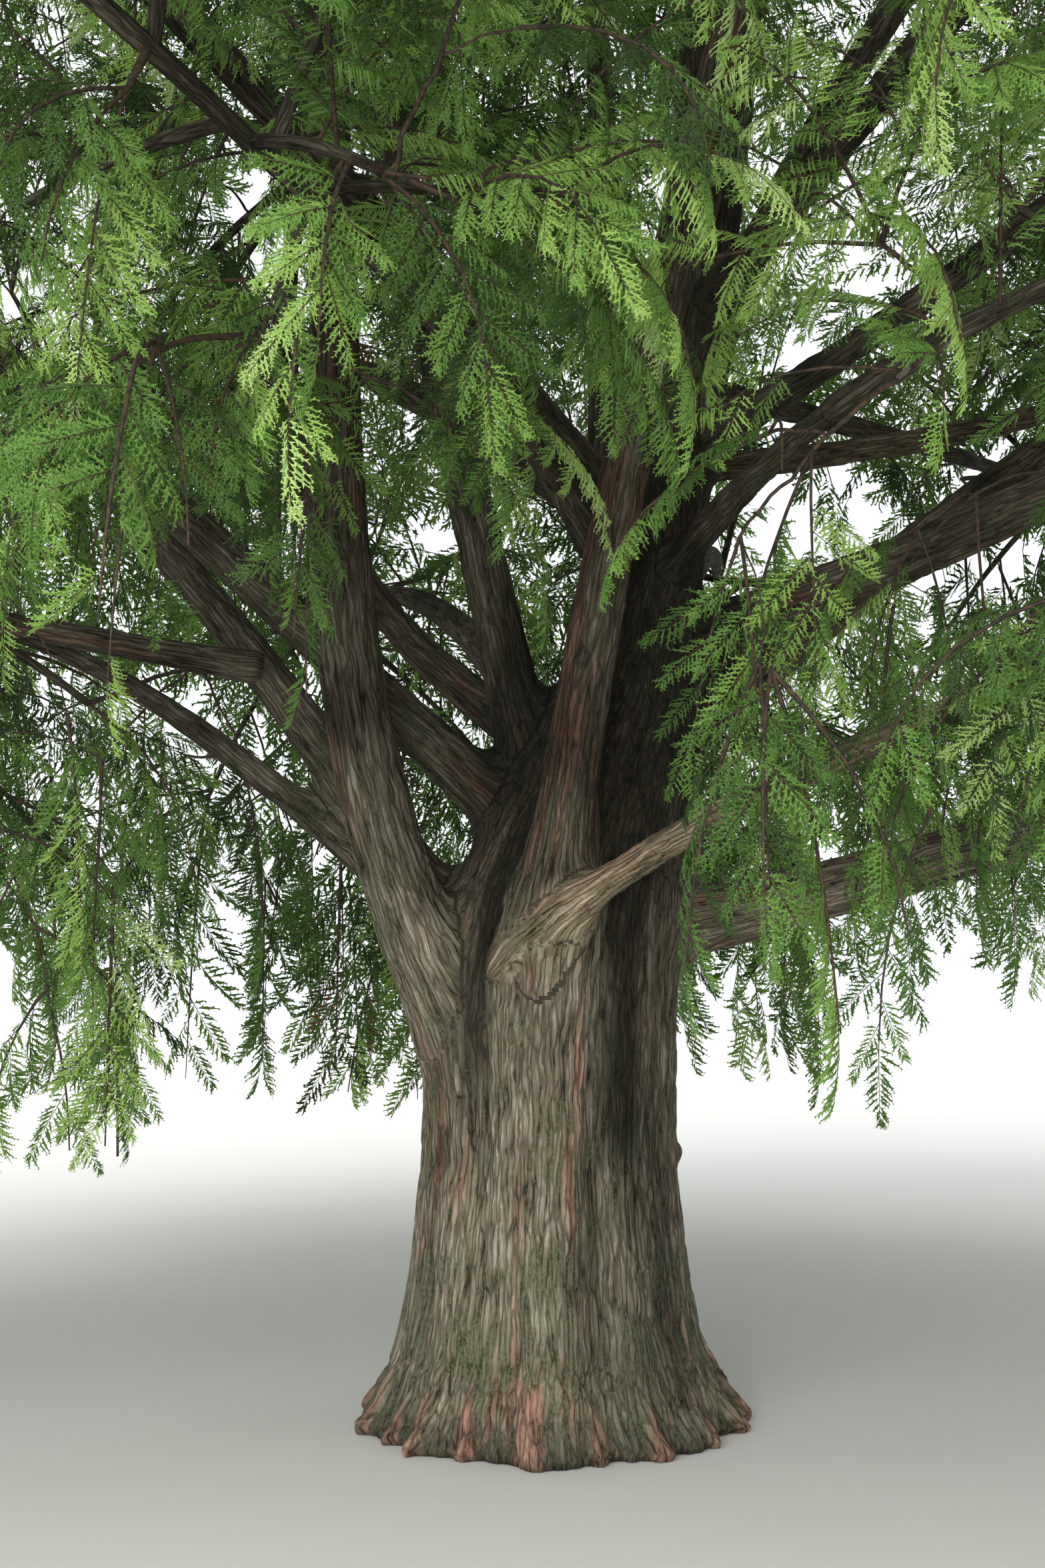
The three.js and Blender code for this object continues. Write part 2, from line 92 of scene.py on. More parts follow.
log = logging.getLogger("bald_cypress")
SEED = 1847
FILL_SEED = SEED + 500
TIP_SEED = SEED + 900
CLEARANCE = 0.0003
MOST_TRIANGLES = 185_000

# The trunk runs on as the leader up through the crown: height, axis x, axis y and radius at each station.
TRUNK_STATIONS = np.array([
    (0, 0, 0, 0.64), (0.12, 0, 0, 0.61), (0.3, 0, 0, 0.575), (0.6, 0, 0, 0.548), (1.05, 0, 0, 0.522),
    (1.55, 0.01, 0, 0.522), (2.05, 0.06, 0.025, 0.5), (2.5, 0.19, 0.09, 0.42), (2.95, 0.33, 0.16, 0.32),
    (3.5, 0.455, 0.195, 0.235), (4.3, 0.58, 0.215, 0.2), (6.2, 0.85, 0.25, 0.175), (8.5, 0.96, 0.26, 0.15),
    (11, 1, 0.24, 0.122), (14, 0.9, 0.15, 0.09), (17.5, 0.73, 0.055, 0.048),
])

# Root buttresses round the foot: azimuth, how far each stands out at the ground, and half its angle.
ROOTS = (
    (184, 0.15, 17), (206, 0.095, 11), (228, 0.12, 11), (252, 0.07, 9), (272, 0.135, 11), (297, 0.095, 10),
    (318, 0.14, 12), (344, 0.12, 12), (5, 0.15, 14), (38, 0.11, 14), (72, 0.14, 14), (104, 0.1, 13),
    (134, 0.13, 14), (160, 0.09, 11),
)
ROOT_FADE = 0.3

# Furrows between the trunk's ribs: azimuth, depth, half angle, and the heights between which each runs.
FLUTES = (
    (235, 0.06, 9, 0.8, 2.7), (291, 0.055, 11, 0.15, 2.5), (312, 0.03, 6, 0.2, 2.1), (262, 0.01, 5, 0.4, 1.3),
    (326, 0.03, 6, 0.2, 1.9), (212, 0.02, 5, 0.2, 1.3), (352, 0.02, 6, 0.3, 1.6), (24, 0.045, 9, 0.3, 2.2),
    (58, 0.025, 6, 0.3, 1.8), (88, 0.05, 9, 0.4, 2.5), (120, 0.025, 6, 0.3, 1.9), (146, 0.045, 9, 0.3, 2.3),
    (172, 0.022, 6, 0.3, 1.6),
)
FLUTE_END = 0.35

# Small pointed toes along the foot of the trunk, narrower than the roots that they stand on.
TOES = 19
TOE_REACH = 0.062
TOE_HEIGHT = 0.31
TOE_UNEVEN = 0.45
TOE_GAP = 0.38
TOE_TAPER = 0.6

# Bands of painted shade on the trunk, in its furrows and broadly down its right side, away from the light:
# azimuth, half angle, the heights between which each runs, and how dark it is.
SHADE_BANDS = (
    (320, 36, 0.1, 2.4, 0.5),
    (231, 9, 1.3, 2.6, 0.85), (303, 17, 0.95, 2.6, 0.86), (288, 10, 0.25, 1.2, 0.5), (322, 7, 0.3, 1.2, 0.35),
    (210, 6, 0.4, 1.3, 0.25), (24, 11, 0.5, 2.3, 0.45), (62, 8, 0.3, 1.4, 0.3), (88, 12, 0.7, 2.5, 0.5),
    (120, 8, 0.3, 1.5, 0.3), (146, 11, 0.5, 2.4, 0.45), (172, 7, 0.3, 1.5, 0.3),
)
BAND_END = 0.3

# A dead stub low on the right side: where its middle is, and its radius.
STUB = ((0.515, -0.06, 1.05), 0.034)

TRUNK_STEP = 0.1
PATH_STEPS = 48
COLLAR_SWELL = 0.35
COLLAR_LENGTH = 0.32

# A bough is slimmer at its very root in the forks, where the trunk's own wood runs on round it.
SUNK_SHARE = 0.4
SUNK_START = -0.1
SUNK_END = 0.42


@dataclass(frozen=True)
class Bough:
    """Plan of a bough: where it leaves its carrier, and how it heads on from there.

    A bough leaves the trunk at a height, or another bough at a share of its length. Its rise goes through
    three values at its root, middle and tip, and its radii are at the root and at the tip. Redness and
    paleness tint its bark.
    """

    foot: tuple[float, float]
    azimuth: float
    turn: float
    rise: tuple[float, float, float]
    length: float
    radius: tuple[float, float]
    height: float = 0.0
    carrier: str = ""
    share: float = 0.0
    redness: float = 0.3
    paleness: float = 0.0


BOUGHS = {
    "front_left_stem": Bough((-0.18, -0.08), 204, -20, (52, 120, 62), 6.3, (0.165, 0.048), 1.25, redness=0.5),
    "left_stem": Bough((-0.2, 0), 185, -5, (76, 84, 58), 6.9, (0.115, 0.042), 2.45),
    "front_stem": Bough((-0.07, -0.4), 350, -40, (84, 74, 66), 6.8, (0.125, 0.042), 1.45, redness=0.75),
    "right_stem": Bough((-0.04, -0.02), 352, 6, (66, 58, 44), 5.3, (0.092, 0.04), 4.15),
    "back_stem": Bough((0.02, 0.15), 80, 20, (70, 80, 62), 6.9, (0.125, 0.044), 2.6),
    "under_left_bough": Bough((-0.25, 0.04), 172, -20, (52, 56, 30), 4.9, (0.118, 0.044), 1.75),
    "left_bough": Bough((-0.15, 0), 183, 8, (44, 38, 46), 5.3, (0.115, 0.044), 2.3),
    "low_left_bough": Bough((-0.25, 0.06), 168, 14, (34, 50, 14), 2.9, (0.082, 0.034), 1.82),
    "back_left_bough": Bough((-0.1, 0.06), 158, -20, (30, 50, 105), 3.6, (0.1, 0.042), 2.68),
    "flat_left_bough": Bough((0, -0.06), 186, 24, (8, 10, 0), 3.3, (0.058, 0.032), carrier="under_left_bough",
                             share=0.36),
    "low_right_bough": Bough((0.2, -0.03), 358, 0, (10, 24, 22), 5.2, (0.138, 0.044), 1.92, redness=0.5),
    "pale_right_bough": Bough((-0.21, -0.44), 334, -6, (40, 0, 26), 4.1, (0.064, 0.032), 1.8, redness=0.2,
                              paleness=0.9),
    "right_bough": Bough((0.1, -0.06), 352, -6, (16, 32, 22), 5.2, (0.125, 0.044), 3.18, redness=0.6),
    "back_right_bough": Bough((0.18, 0.04), 10, 22, (40, 40, 20), 5.3, (0.115, 0.042), 2.68, paleness=0.5),
    "upper_right_bough": Bough((0, -0.09), 350, -26, (30, 34, 30), 5.2, (0.075, 0.034), 4.02),
    "grey_right_bough": Bough((0.06, 0.06), 22, 14, (12, 20, 34), 4.9, (0.07, 0.034), 4.06, redness=0.1,
                              paleness=0.8),
    "far_right_bough": Bough((0.04, 0.08), 45, 16, (8, 10, 12), 5.2, (0.066, 0.034), 4.48),
    "front_left_bough": Bough((-0.06, -0.1), 238, 0, (44, 22, 8), 2.3, (0.072, 0.034), 3.3),
    "front_right_bough": Bough((0.04, -0.12), 300, 0, (30, 10, -4), 2.3, (0.072, 0.034), 3.45),
    "long_front_left_bough": Bough((-0.08, -0.06), 216, 6, (40, 34, 6), 5.4, (0.09, 0.04), 3.7),
    "long_front_bough": Bough((0, -0.1), 262, 6, (36, 22, -4), 5.3, (0.084, 0.038), 5.3),
    "long_front_right_bough": Bough((0.04, -0.1), 312, -4, (34, 26, 2), 5.2, (0.084, 0.038), 4.7),
    "back_bough": Bough((0.04, 0.12), 74, 8, (34, 24, 6), 5.2, (0.105, 0.042), 3.05),
    "far_back_bough": Bough((-0.04, 0.14), 108, 4, (40, 28, 2), 5.2, (0.11, 0.042), 2.5),
    "back_left_high_bough": Bough((-0.06, 0.09), 136, 0, (40, 34, 8), 5.2, (0.095, 0.04), 3.7),
}


@dataclass(frozen=True)
class Mass:
    """Plan of a mass of foliage in its space round a bough's tip, or beside the leader at a height.

    The space gives how far it reaches ahead of the tip and back from it, its half width, and its height above
    and its drop below the tip.
    """

    space: tuple[float, float, float, float, float]
    height: float = 0.0
    azimuth: float | None = None
    rise: float | None = None
    level: float = 20.0
    spray: float = 2.1
    on_tip: bool = False


MASSES = {
    "front_left_stem": Mass((3, 0.9, 1.9, 3.6, 1.5)),
    "left_stem": Mass((3.3, 0.9, 1.9, 3.4, 1.7)),
    "front_stem": Mass((3.1, 0.9, 2, 3.3, 1.7)),
    "right_stem": Mass((3.4, 1, 2.1, 2.8, 1.8)),
    "back_stem": Mass((3.2, 0.9, 2.1, 3.2, 1.8)),
    "under_left_bough": Mass((3.6, 1.5, 2, 1.5, 2)),
    "left_bough": Mass((3.3, 1.7, 1.9, 1.9, 1.7)),
    "low_left_bough": Mass((2.7, 1.5, 1.5, 0.9, 2.2)),
    "back_left_bough": Mass((2.5, 1.3, 1.8, 2.5, 1.5)),
    "flat_left_bough": Mass((3, 1.3, 1.8, 0.9, 2)),
    "low_right_bough": Mass((2.7, 2.6, 1.7, 1.1, 1.9)),
    "pale_right_bough": Mass((3.3, 1.4, 1.8, 0.9, 1.7)),
    "right_bough": Mass((2.7, 2.5, 1.7, 1.5, 1.5)),
    "back_right_bough": Mass((3, 1.6, 1.8, 1.6, 1.7)),
    "upper_right_bough": Mass((2.6, 1.9, 1.8, 2, 1.3)),
    "grey_right_bough": Mass((2.6, 2.2, 1.7, 2.5, 1.3)),
    "far_right_bough": Mass((2.7, 1.9, 2, 1.8, 2)),
    "front_left_bough": Mass((1.7, 0.9, 1.4, 1.5, 1.2), spray=1.15),
    "front_right_bough": Mass((1.5, 0.9, 1.3, 1, 1.9), spray=1.15),
    "long_front_left_bough": Mass((2.9, 2, 2.1, 1.7, 2.3)),
    "long_front_bough": Mass((3.1, 1.7, 2.2, 1.9, 1.9)),
    "long_front_right_bough": Mass((3, 1.9, 2.1, 1.7, 2.2)),
    "back_bough": Mass((2.9, 2.1, 2.1, 1.8, 2.5)),
    "far_back_bough": Mass((3, 2, 2.1, 1.6, 2.6)),
    "back_left_high_bough": Mass((2.9, 1.9, 2.1, 1.8, 2.4)),
    "leader_front": Mass((4.8, 0.3, 2.3, 2.5, 1.8), 11, 268, 34),
    "leader_left": Mass((4.5, 0.3, 2.3, 2.4, 1.8), 11.9, 156, 40),
    "leader_right": Mass((4.6, 0.3, 2.3, 2.5, 1.8), 11.4, 28, 38),
    "leader_back": Mass((4.3, 0.3, 2.3, 2.5, 1.8), 11.7, 92, 38),
    "leader_front_left": Mass((4.2, 0.3, 2.1, 2.4, 1.8), 12.7, 212, 38),
    "high_front": Mass((3.7, 0.3, 2, 2.5, 1.5), 14.3, 320, 42),
    "high_left": Mass((3.5, 0.3, 1.9, 2.5, 1.5), 15.1, 190, 44),
    "high_back": Mass((3.7, 0.3, 2, 2.5, 1.5), 14.4, 88, 42),
    "top": Mass((1.9, 1.9, 1.9, 2.5, 1.7), 0, 150, 84, level=78, spray=1.5, on_tip=True),
}

# The rule by which a mass grows: a stem, twigs to points spread evenly in its space, and sprays on each twig.
SPACE_OVERLAP = 1.32
CELL_MARGIN = 0.012
LEADER_BOUGH_RADIUS = 0.066
STEM_SHARE = 0.46
STEM_RINGS = 3
STEM_TURN = 12
STEM_NOD = 20
TWIG_COUNT = 7
TWIG_DEPTH = 0.44
TWIG_LEAN = 0.8
TWIG_FIRST_STATION = 5
TWIG_RADIUS = (0.032, 0.016)
TWIG_TAPER = 0.8
SPRAY_OUTLINE = np.array([(0.34, 0.3), (0.47, 0.15), (0.78, 0.25), (1, 0), (0.58, -0.34), (0.38, -0.14)])
SPRAY_VARIES = 0.15
SPRAY_SIZES = (1, 0.8, 0.62)
SPRAY_PLACES = ((0.94, 8), (0.5, -64))
SPRAY_MIDDLES = np.array([0.35, 0.6, 0.85])
SPRAY_SPACING = 0.72
SPRAY_DROOP = 20
SPRAY_DROOP_VARIES = 12
SPRAY_ROLL = 75
GOLDEN_TURN = 137.508

# The crown's outline is its radius at each height. Under the front it is lifted to leave headroom.
CROWN_OUTLINE = np.array([
    (0, 5.2), (1.5, 6.9), (3.5, 7.7), (6, 8), (9, 7.1), (12, 5.8), (15, 4.3), (18, 2.5), (20, 0.6),
])
CROWN_AXIS = np.array([0.15, 0])
SKIRT_HEIGHT = 1.15
HEADROOM_FRONT = -3.35
HEADROOM_HEIGHT = 4.1
HEADROOM_SLOPE = 0.55
HEADROOM_LOWEST = 2.4

# Places in the photograph's frame, across and down it, each with a radius, as shares of the frame's width.
# The crown is open to the sky in the first, the boughs show through in the second, and plumes hang in the
# others.
OPENINGS = (
    (0.05, 0.03, 0.03), (0.235, 0.165, 0.03), (0.27, 0.27, 0.03), (0.32, 0.33, 0.035), (0.02, 0.28, 0.03),
    (0.54, 0.06, 0.03), (0.675, 0.29, 0.03), (0.77, 0.33, 0.03), (0.75, 0.475, 0.04), (0.82, 0.46, 0.03),
    (0.89, 0.54, 0.035), (0.45, 0.625, 0.02), (0.38, 0.67, 0.03), (0.13, 0.665, 0.03),
    (0.3, 0.485, 0.03), (0.2, 0.5, 0.025), (0.86, 0.42, 0.02), (0.97, 0.51, 0.03),
)
BARE_LIMBS = (
    (0.46, 0.56, 0.12), (0.52, 0.68, 0.12), (0.4, 0.7, 0.1), (0.3, 0.68, 0.1), (0.2, 0.58, 0.1),
    (0.08, 0.58, 0.09), (0.32, 0.78, 0.05), (0.7, 0.44, 0.05), (0.8, 0.4, 0.06), (0.93, 0.4, 0.07),
    (0.56, 0.54, 0.05), (0.95, 0.52, 0.06),
)
PLUMES = (
    (0.1, 0.1, 0.13), (0.34, 0.12, 0.11), (0.5, 0.22, 0.16), (0.61, 0.24, 0.11), (0.8, 0.05, 0.13),
    (0.285, 0.39, 0.1), (0.22, 0.47, 0.06), (0.08, 0.4, 0.11), (0.88, 0.28, 0.08), (0.1, 0.8, 0.12),
    (0.19, 0.9, 0.1), (0.95, 0.7, 0.1), (0.93, 0.2, 0.08), (0.25, 0.85, 0.08),
)
FULL_PLUMES = (
    (0.76, 0.68, 0.13), (0.82, 0.8, 0.11), (0.615, 0.445, 0.05), (0.7, 0.6, 0.08), (0.9, 0.75, 0.1),
    (0.77, 0.57, 0.06), (0.65, 0.67, 0.09), (0.6, 0.72, 0.06), (0.75, 0.18, 0.07), (0.58, 0.4, 0.05),
    (0.87, 0.6, 0.06), (0.24, 0.8, 0.05), (0.57, 0.66, 0.05),
)


class SeededRandom:
    """Random numbers from 0 to 1 that are the same on every run, drawn as the part's own solids draw them."""

    def __init__(self, seed: int) -> None:
        """Starts the row of numbers.

        Args:
            seed: the number that the row follows from.
        """
        self.state = seed & 0xFFFFFFFF

    def draw(self) -> float:
        """Returns the next number."""
        self.state = (self.state + 0x6D2B79F5) & 0xFFFFFFFF
        t = self.state
        t = ((t ^ (t >> 15)) * (t | 1)) & 0xFFFFFFFF
        t ^= (t + (((t ^ (t >> 7)) * (t | 61)) & 0xFFFFFFFF)) & 0xFFFFFFFF
        return ((t ^ (t >> 14)) & 0xFFFFFFFF) / 4294967296

    def centred(self) -> float:
        """Returns the next number, spread from -1 to 1."""
        return 2 * self.draw() - 1


def heading(azimuth: float | np.ndarray, rise: float | np.ndarray) -> np.ndarray:
    """Unit vectors of headings.

    Args:
        azimuth: turn from +X towards +Y, one or several.
        rise: angle above level, one or several.

    Returns:
        One vector, or a row for each heading.
    """
    azimuth, rise = np.broadcast_arrays(np.radians(azimuth), np.radians(rise))
    return np.stack((np.cos(rise) * np.cos(azimuth), np.cos(rise) * np.sin(azimuth), np.sin(rise)), axis=-1)


def angles_of(direction: np.ndarray) -> tuple[float, float]:
    """Returns the azimuth and the rise of a direction."""
    level = math.hypot(direction[0], direction[1])
    return math.degrees(math.atan2(direction[1], direction[0])), math.degrees(math.atan2(direction[2], level))


def unit(vectors: np.ndarray) -> np.ndarray:
    """Returns vectors scaled to a length of one."""
    return vectors / np.maximum(np.linalg.norm(vectors, axis=-1, keepdims=True), 1e-9)


def smooth_step(low: float, high: float, values: np.ndarray) -> np.ndarray:
    """Returns 0 below one value and 1 above another, with a smooth rise between them."""
    share = np.clip((values - low) / (high - low), 0, 1)
    return share * share * (3 - 2 * share)


@dataclass
class Limb:
    """Stations along a limb, each with its point, its heading and its radius."""

    points: np.ndarray
    azimuth: np.ndarray
    rise: np.ndarray
    radius: np.ndarray

    @classmethod
    def grown(cls, start: np.ndarray, azimuth: float, turn: float, rise: tuple[float, float, float],
              length: float, radius: tuple[float, float], swell: float = 0.0) -> "Limb":
        """Works out a limb in small equal steps.

        Args:
            start: its first point.
            azimuth: its heading at the root.
            turn: how far the azimuth turns over its length.
            rise: its rise at the root, middle and tip.
            length: its length.
            radius: its radii at the root and at the tip.
            swell: share by which its collar is thicker at the root.

        Returns:
            The limb.
        """
        share = np.linspace(0, 1, PATH_STEPS + 1)
        middle = (share[1:] + share[:-1]) / 2
        steps = heading(azimuth + turn * middle, cls.blend(rise, middle)) * length / PATH_STEPS
        points = np.vstack((start, start + np.cumsum(steps, axis=0)))
        collar = radius[0] * swell * np.exp(-share * length / COLLAR_LENGTH)
        widths = radius[0] + (radius[1] - radius[0]) * share + collar
        return cls(points, azimuth + turn * share, cls.blend(rise, share), widths)

    @staticmethod
    def blend(values: tuple[float, float, float], share: np.ndarray) -> np.ndarray:
        """Returns a curve's values under the influence of three, at shares of the way along."""
        root, middle, tip = values
        return (1 - share) ** 2 * root + 2 * share * (1 - share) * middle + share ** 2 * tip

    def index(self, share: float) -> int:
        """Returns the number of the station part-way along."""
        return int(share * (len(self.points) - 1) + 0.5)

    def part(self, first: int, last: int) -> "Limb":
        """Returns the stretch from one station up to, but without, another."""
        return Limb(self.points[first:last], self.azimuth[first:last], self.rise[first:last],
                    self.radius[first:last])

    def lengths(self) -> np.ndarray:
        """Returns how far along the limb each station is."""
        steps = np.linalg.norm(np.diff(self.points, axis=0), axis=1)
        return np.concatenate(([0], np.cumsum(steps)))

    def at(self, along: np.ndarray) -> "Limb":
        """Returns stations at given distances along the limb."""
        lengths = self.lengths()
        points = np.stack([np.interp(along, lengths, self.points[:, axis]) for axis in range(3)], axis=-1)
        return Limb(points, np.interp(along, lengths, self.azimuth), np.interp(along, lengths, self.rise),
                    np.interp(along, lengths, self.radius))

    def frames(self) -> tuple[np.ndarray, np.ndarray]:
        """Returns the level and the upward direction across the limb at each station."""
        return heading(self.azimuth + 90, 0), heading(self.azimuth, self.rise + 90)

    def sunk(self) -> "Limb":
        """Returns the limb with a slimmer root, as it is inside the forks."""
        share = SUNK_SHARE + (1 - SUNK_SHARE) * smooth_step(SUNK_START, SUNK_END, self.lengths())
        return replace(self, radius=self.radius * share)

    def steps(self, stride: int = 3) -> Iterator[tuple[int, int]]:
        """Returns the numbers of the first and the last station of each step along the limb."""
        last = len(self.points) - 1
        return itertools.pairwise([*range(0, last, stride), last])


def trunk_at(height: float | np.ndarray) -> np.ndarray:
    """Returns x and y of the trunk's axis and the trunk's radius, each at one height or several."""
    return np.array([np.interp(height, TRUNK_STATIONS[:, 0], column) for column in TRUNK_STATIONS.T[1:]])


def trunk_limb() -> Limb:
    """Returns the trunk's axis as a limb with level rings."""
    heights = np.arange(0, TRUNK_STATIONS[-1, 0] + TRUNK_STEP / 2, TRUNK_STEP)
    x, y, radius = trunk_at(heights)
    points = np.stack((x, y, heights), axis=-1)
    return Limb(points, np.zeros_like(heights), np.full_like(heights, 90), radius)


def away_from(azimuth: np.ndarray, middle: float) -> np.ndarray:
    """Returns how far azimuths are from one azimuth, from -180 to 180."""
    return (azimuth - middle + 180) % 360 - 180


def rib_share(azimuth: np.ndarray, middle: float, half: float) -> np.ndarray:
    """Returns 1 in the middle of an upright rib or furrow and less beside it, down to 0."""
    return np.exp(-((away_from(azimuth, middle) / half) ** 2))


def window(height: np.ndarray, low: float, high: float, end: float) -> np.ndarray:
    """Returns 1 between two heights and 0 outside them, with a smooth change round each."""
    return smooth_step(low - end, low + end, height) * (1 - smooth_step(high - end, high + end, height))


def flute_depth(azimuth: np.ndarray, height: np.ndarray) -> np.ndarray:
    """Returns how deep the trunk's furrows are in each direction at each height."""
    return sum(depth * window(height, low, high, FLUTE_END) * rib_share(azimuth, middle, half)
               for middle, depth, half, low, high in FLUTES)


def toe_share(azimuth: np.ndarray, height: np.ndarray) -> np.ndarray:
    """Returns how far out the small toes stand at the trunk's foot, from 0 to 1."""
    around = np.radians(azimuth)
    # Slow waves round the foot make some toes wider or taller than others.
    wave = np.cos(TOES * around + 1.6 * np.sin(3 * around + 0.7) + 0.9 * np.sin(5 * around))
    tall = TOE_HEIGHT * (1 + TOE_UNEVEN * np.sin(7 * around + 1.1) * np.cos(4 * around))
    return smooth_step(0, 0.6, 0.5 + 0.5 * wave - TOE_GAP - TOE_TAPER * np.clip(height, 0, None) / tall)


def band_shade(azimuth: np.ndarray, height: np.ndarray) -> np.ndarray:
    """Returns how much painted shade the trunk's bands lay on its bark, from 0 to 1."""
    return np.max([dark * window(height, low, high, BAND_END) * rib_share(azimuth, middle, half)
                   for middle, half, low, high, dark in SHADE_BANDS], axis=0)


def trunk_radius(azimuth: np.ndarray, height: np.ndarray) -> np.ndarray:
    """The trunk's radius in each direction at each height, with its root flare and its furrows.

    Args:
        azimuth: directions from the axis.
        height: heights above the ground.

    Returns:
        The radii.
    """
    radius = trunk_at(height)[2] - flute_depth(azimuth, height)
    foot = np.exp(-np.clip(height, 0, None) / ROOT_FADE)
    for middle, reach, half in ROOTS:
        radius = radius + reach * foot * rib_share(azimuth, middle, half)
    return radius + TOE_REACH * (toe_share(azimuth, height) - 0.3 * foot)


def round_trunk(points: np.ndarray) -> tuple[np.ndarray, np.ndarray, np.ndarray]:
    """Returns the azimuths of points round the trunk's axis, their distances from it and their heights."""
    heights = points[..., 2]
    x, y, _ = trunk_at(heights)
    east, north = points[..., 0] - x, points[..., 1] - y
    return np.degrees(np.arctan2(north, east)), np.hypot(east, north), heights


@dataclass
class Space:
    """The space of a mass: a frame at the start of its stem, its middle and its three half sizes."""

    name: str
    start: np.ndarray
    azimuth: float
    rise: float
    level: float
    middle: np.ndarray
    sizes: np.ndarray
    weight: float
    gap: float
    radius: float
    spray: float
    turned: np.ndarray = field(init=False)

    def __post_init__(self) -> None:
        """Works out the directions along and across the space, and up."""
        self.turned = np.array((heading(self.azimuth, 0), heading(self.azimuth + 90, 0), (0, 0, 1)))

    def depth(self, points: np.ndarray) -> np.ndarray:
        """Returns how deep points lie, as a share of the half sizes: under 1 is inside."""
        return np.linalg.norm((points - self.middle) @ self.turned.T / self.sizes, axis=-1)

    def spread(self, count: int, depth: float, phase: float) -> np.ndarray:
        """Points spread evenly at one depth: a spiral over a ball, stretched to the space's half sizes.

        Args:
            count: number of points.
            depth: how far out they lie, as a share of the half sizes.
            phase: where the spiral starts.

        Returns:
            A row for each point.
        """
        k = np.arange(count)
        rise = np.degrees(np.arcsin(1 - (2 * k + 1) / count))
        return self.middle + heading(phase + k * GOLDEN_TURN, rise) * self.sizes * depth @ self.turned


class TreePlan:
    """The tree's limbs and the spaces of its masses, worked out by the same rule as its solids."""

    def __init__(self) -> None:
        """Works out every path and space."""
        self.trunk = trunk_limb()
        self.boughs: dict[str, Limb] = {}
        for name, bough in BOUGHS.items():
            root = self.root_of(bough) + (*bough.foot, 0)
            self.boughs[name] = Limb.grown(root, bough.azimuth, bough.turn, bough.rise, bough.length,
                                           bough.radius, COLLAR_SWELL)
        self.spaces = [self.space_of(name, mass) for name, mass in MASSES.items()]
        self.middles = np.array([space.middle for space in self.spaces])
        self.weights = np.array([space.weight for space in self.spaces])
        wood = [self.trunk, *self.boughs.values()]
        self.wood_points = np.vstack([limb.points for limb in wood])
        self.wood_radii = np.concatenate([limb.radius for limb in wood])

    def root_of(self, bough: Bough) -> np.ndarray:
        """Returns the point of a bough's carrier that it leaves."""
        if bough.carrier:
            carrier = self.boughs[bough.carrier]
            return carrier.points[carrier.index(bough.share)]
        return self.trunk_point(bough.height)

    @staticmethod
    def trunk_point(height: float) -> np.ndarray:
        """Returns the point on the trunk's axis at a height."""
        return np.array((*trunk_at(height)[:2], height))

    def space_of(self, name: str, mass: Mass) -> Space:
        """Works out the space of one mass.

        Args:
            name: the mass's name, which is its bough's where it has one.
            mass: its plan.

        Returns:
            The space.
        """
        gap, radius, azimuth, rise = 0.0, LEADER_BOUGH_RADIUS, mass.azimuth, mass.rise
        if mass.height:
            start = self.trunk_point(mass.height)
        elif mass.on_tip:
            start = self.trunk_point(TRUNK_STATIONS[-1, 0])
            gap, radius = CLEARANCE, TRUNK_STATIONS[-1, 3]
        else:
            bough = self.boughs[name]
            start, azimuth, rise = bough.points[-1], bough.azimuth[-1], bough.rise[-1]
            gap, radius = CLEARANCE, bough.radius[-1]
        ahead, behind, half, above, below = mass.space
        middle = start + heading(azimuth, 0) * (ahead - behind) / 2 + (0, 0, (above - below) / 2)
        sizes = np.array(((ahead + behind) / 2, half, (above + below) / 2)) * SPACE_OVERLAP
        weight = np.cbrt(sizes.prod()) ** 2
        return Space(name, start, azimuth, rise, mass.level, middle, sizes, weight, gap, radius, mass.spray)

    @staticmethod
    def inside_crown(points: np.ndarray, proud: float = 0.0) -> np.ndarray:
        """Which points lie inside the crown's outline and clear of the headroom.

        Args:
            points: a row for each point.
            proud: how far outside the outline a point may lie.

        Returns:
            True or False for each.
        """
        out = np.linalg.norm(points[:, :2] - CROWN_AXIS, axis=1) - proud
        ramp = HEADROOM_HEIGHT + HEADROOM_SLOPE * (points[:, 1] - HEADROOM_FRONT)
        under = np.where(points[:, 1] < HEADROOM_FRONT, np.maximum(HEADROOM_LOWEST, ramp), SKIRT_HEIGHT)
        edge = np.interp(points[:, 2], CROWN_OUTLINE[:, 0], CROWN_OUTLINE[:, 1])
        return (points[:, 2] > under - proud) & (out < edge)

    def holds(self, space: Space, points: np.ndarray) -> np.ndarray:
        """Returns which points are in a space, in its own cell among the others, and inside the crown."""
        points = np.atleast_2d(points)
        own = ((points - space.middle) ** 2).sum(1) - space.weight
        others = ((points[:, None] - self.middles) ** 2).sum(2) - self.weights
        apart = 2 * CELL_MARGIN * np.linalg.norm(self.middles - space.middle, axis=1)
        beaten = own[:, None] + apart < others
        beaten[:, [each is space for each in self.spaces].index(True)] = True
        return (space.depth(points) <= 1) & self.inside_crown(points) & beaten.all(1)

    def clear(self, points: np.ndarray, gap: float = 0.0) -> np.ndarray:
        """Returns which points are clear of the trunk and the boughs by a gap."""
        clear = np.ones(len(points), bool)
        for first in range(0, len(points), 2000):
            some = points[first:first + 2000]
            away = np.linalg.norm(some[:, None] - self.wood_points, axis=2) - self.wood_radii
            clear[first:first + 2000] = away.min(1) > gap
        return clear


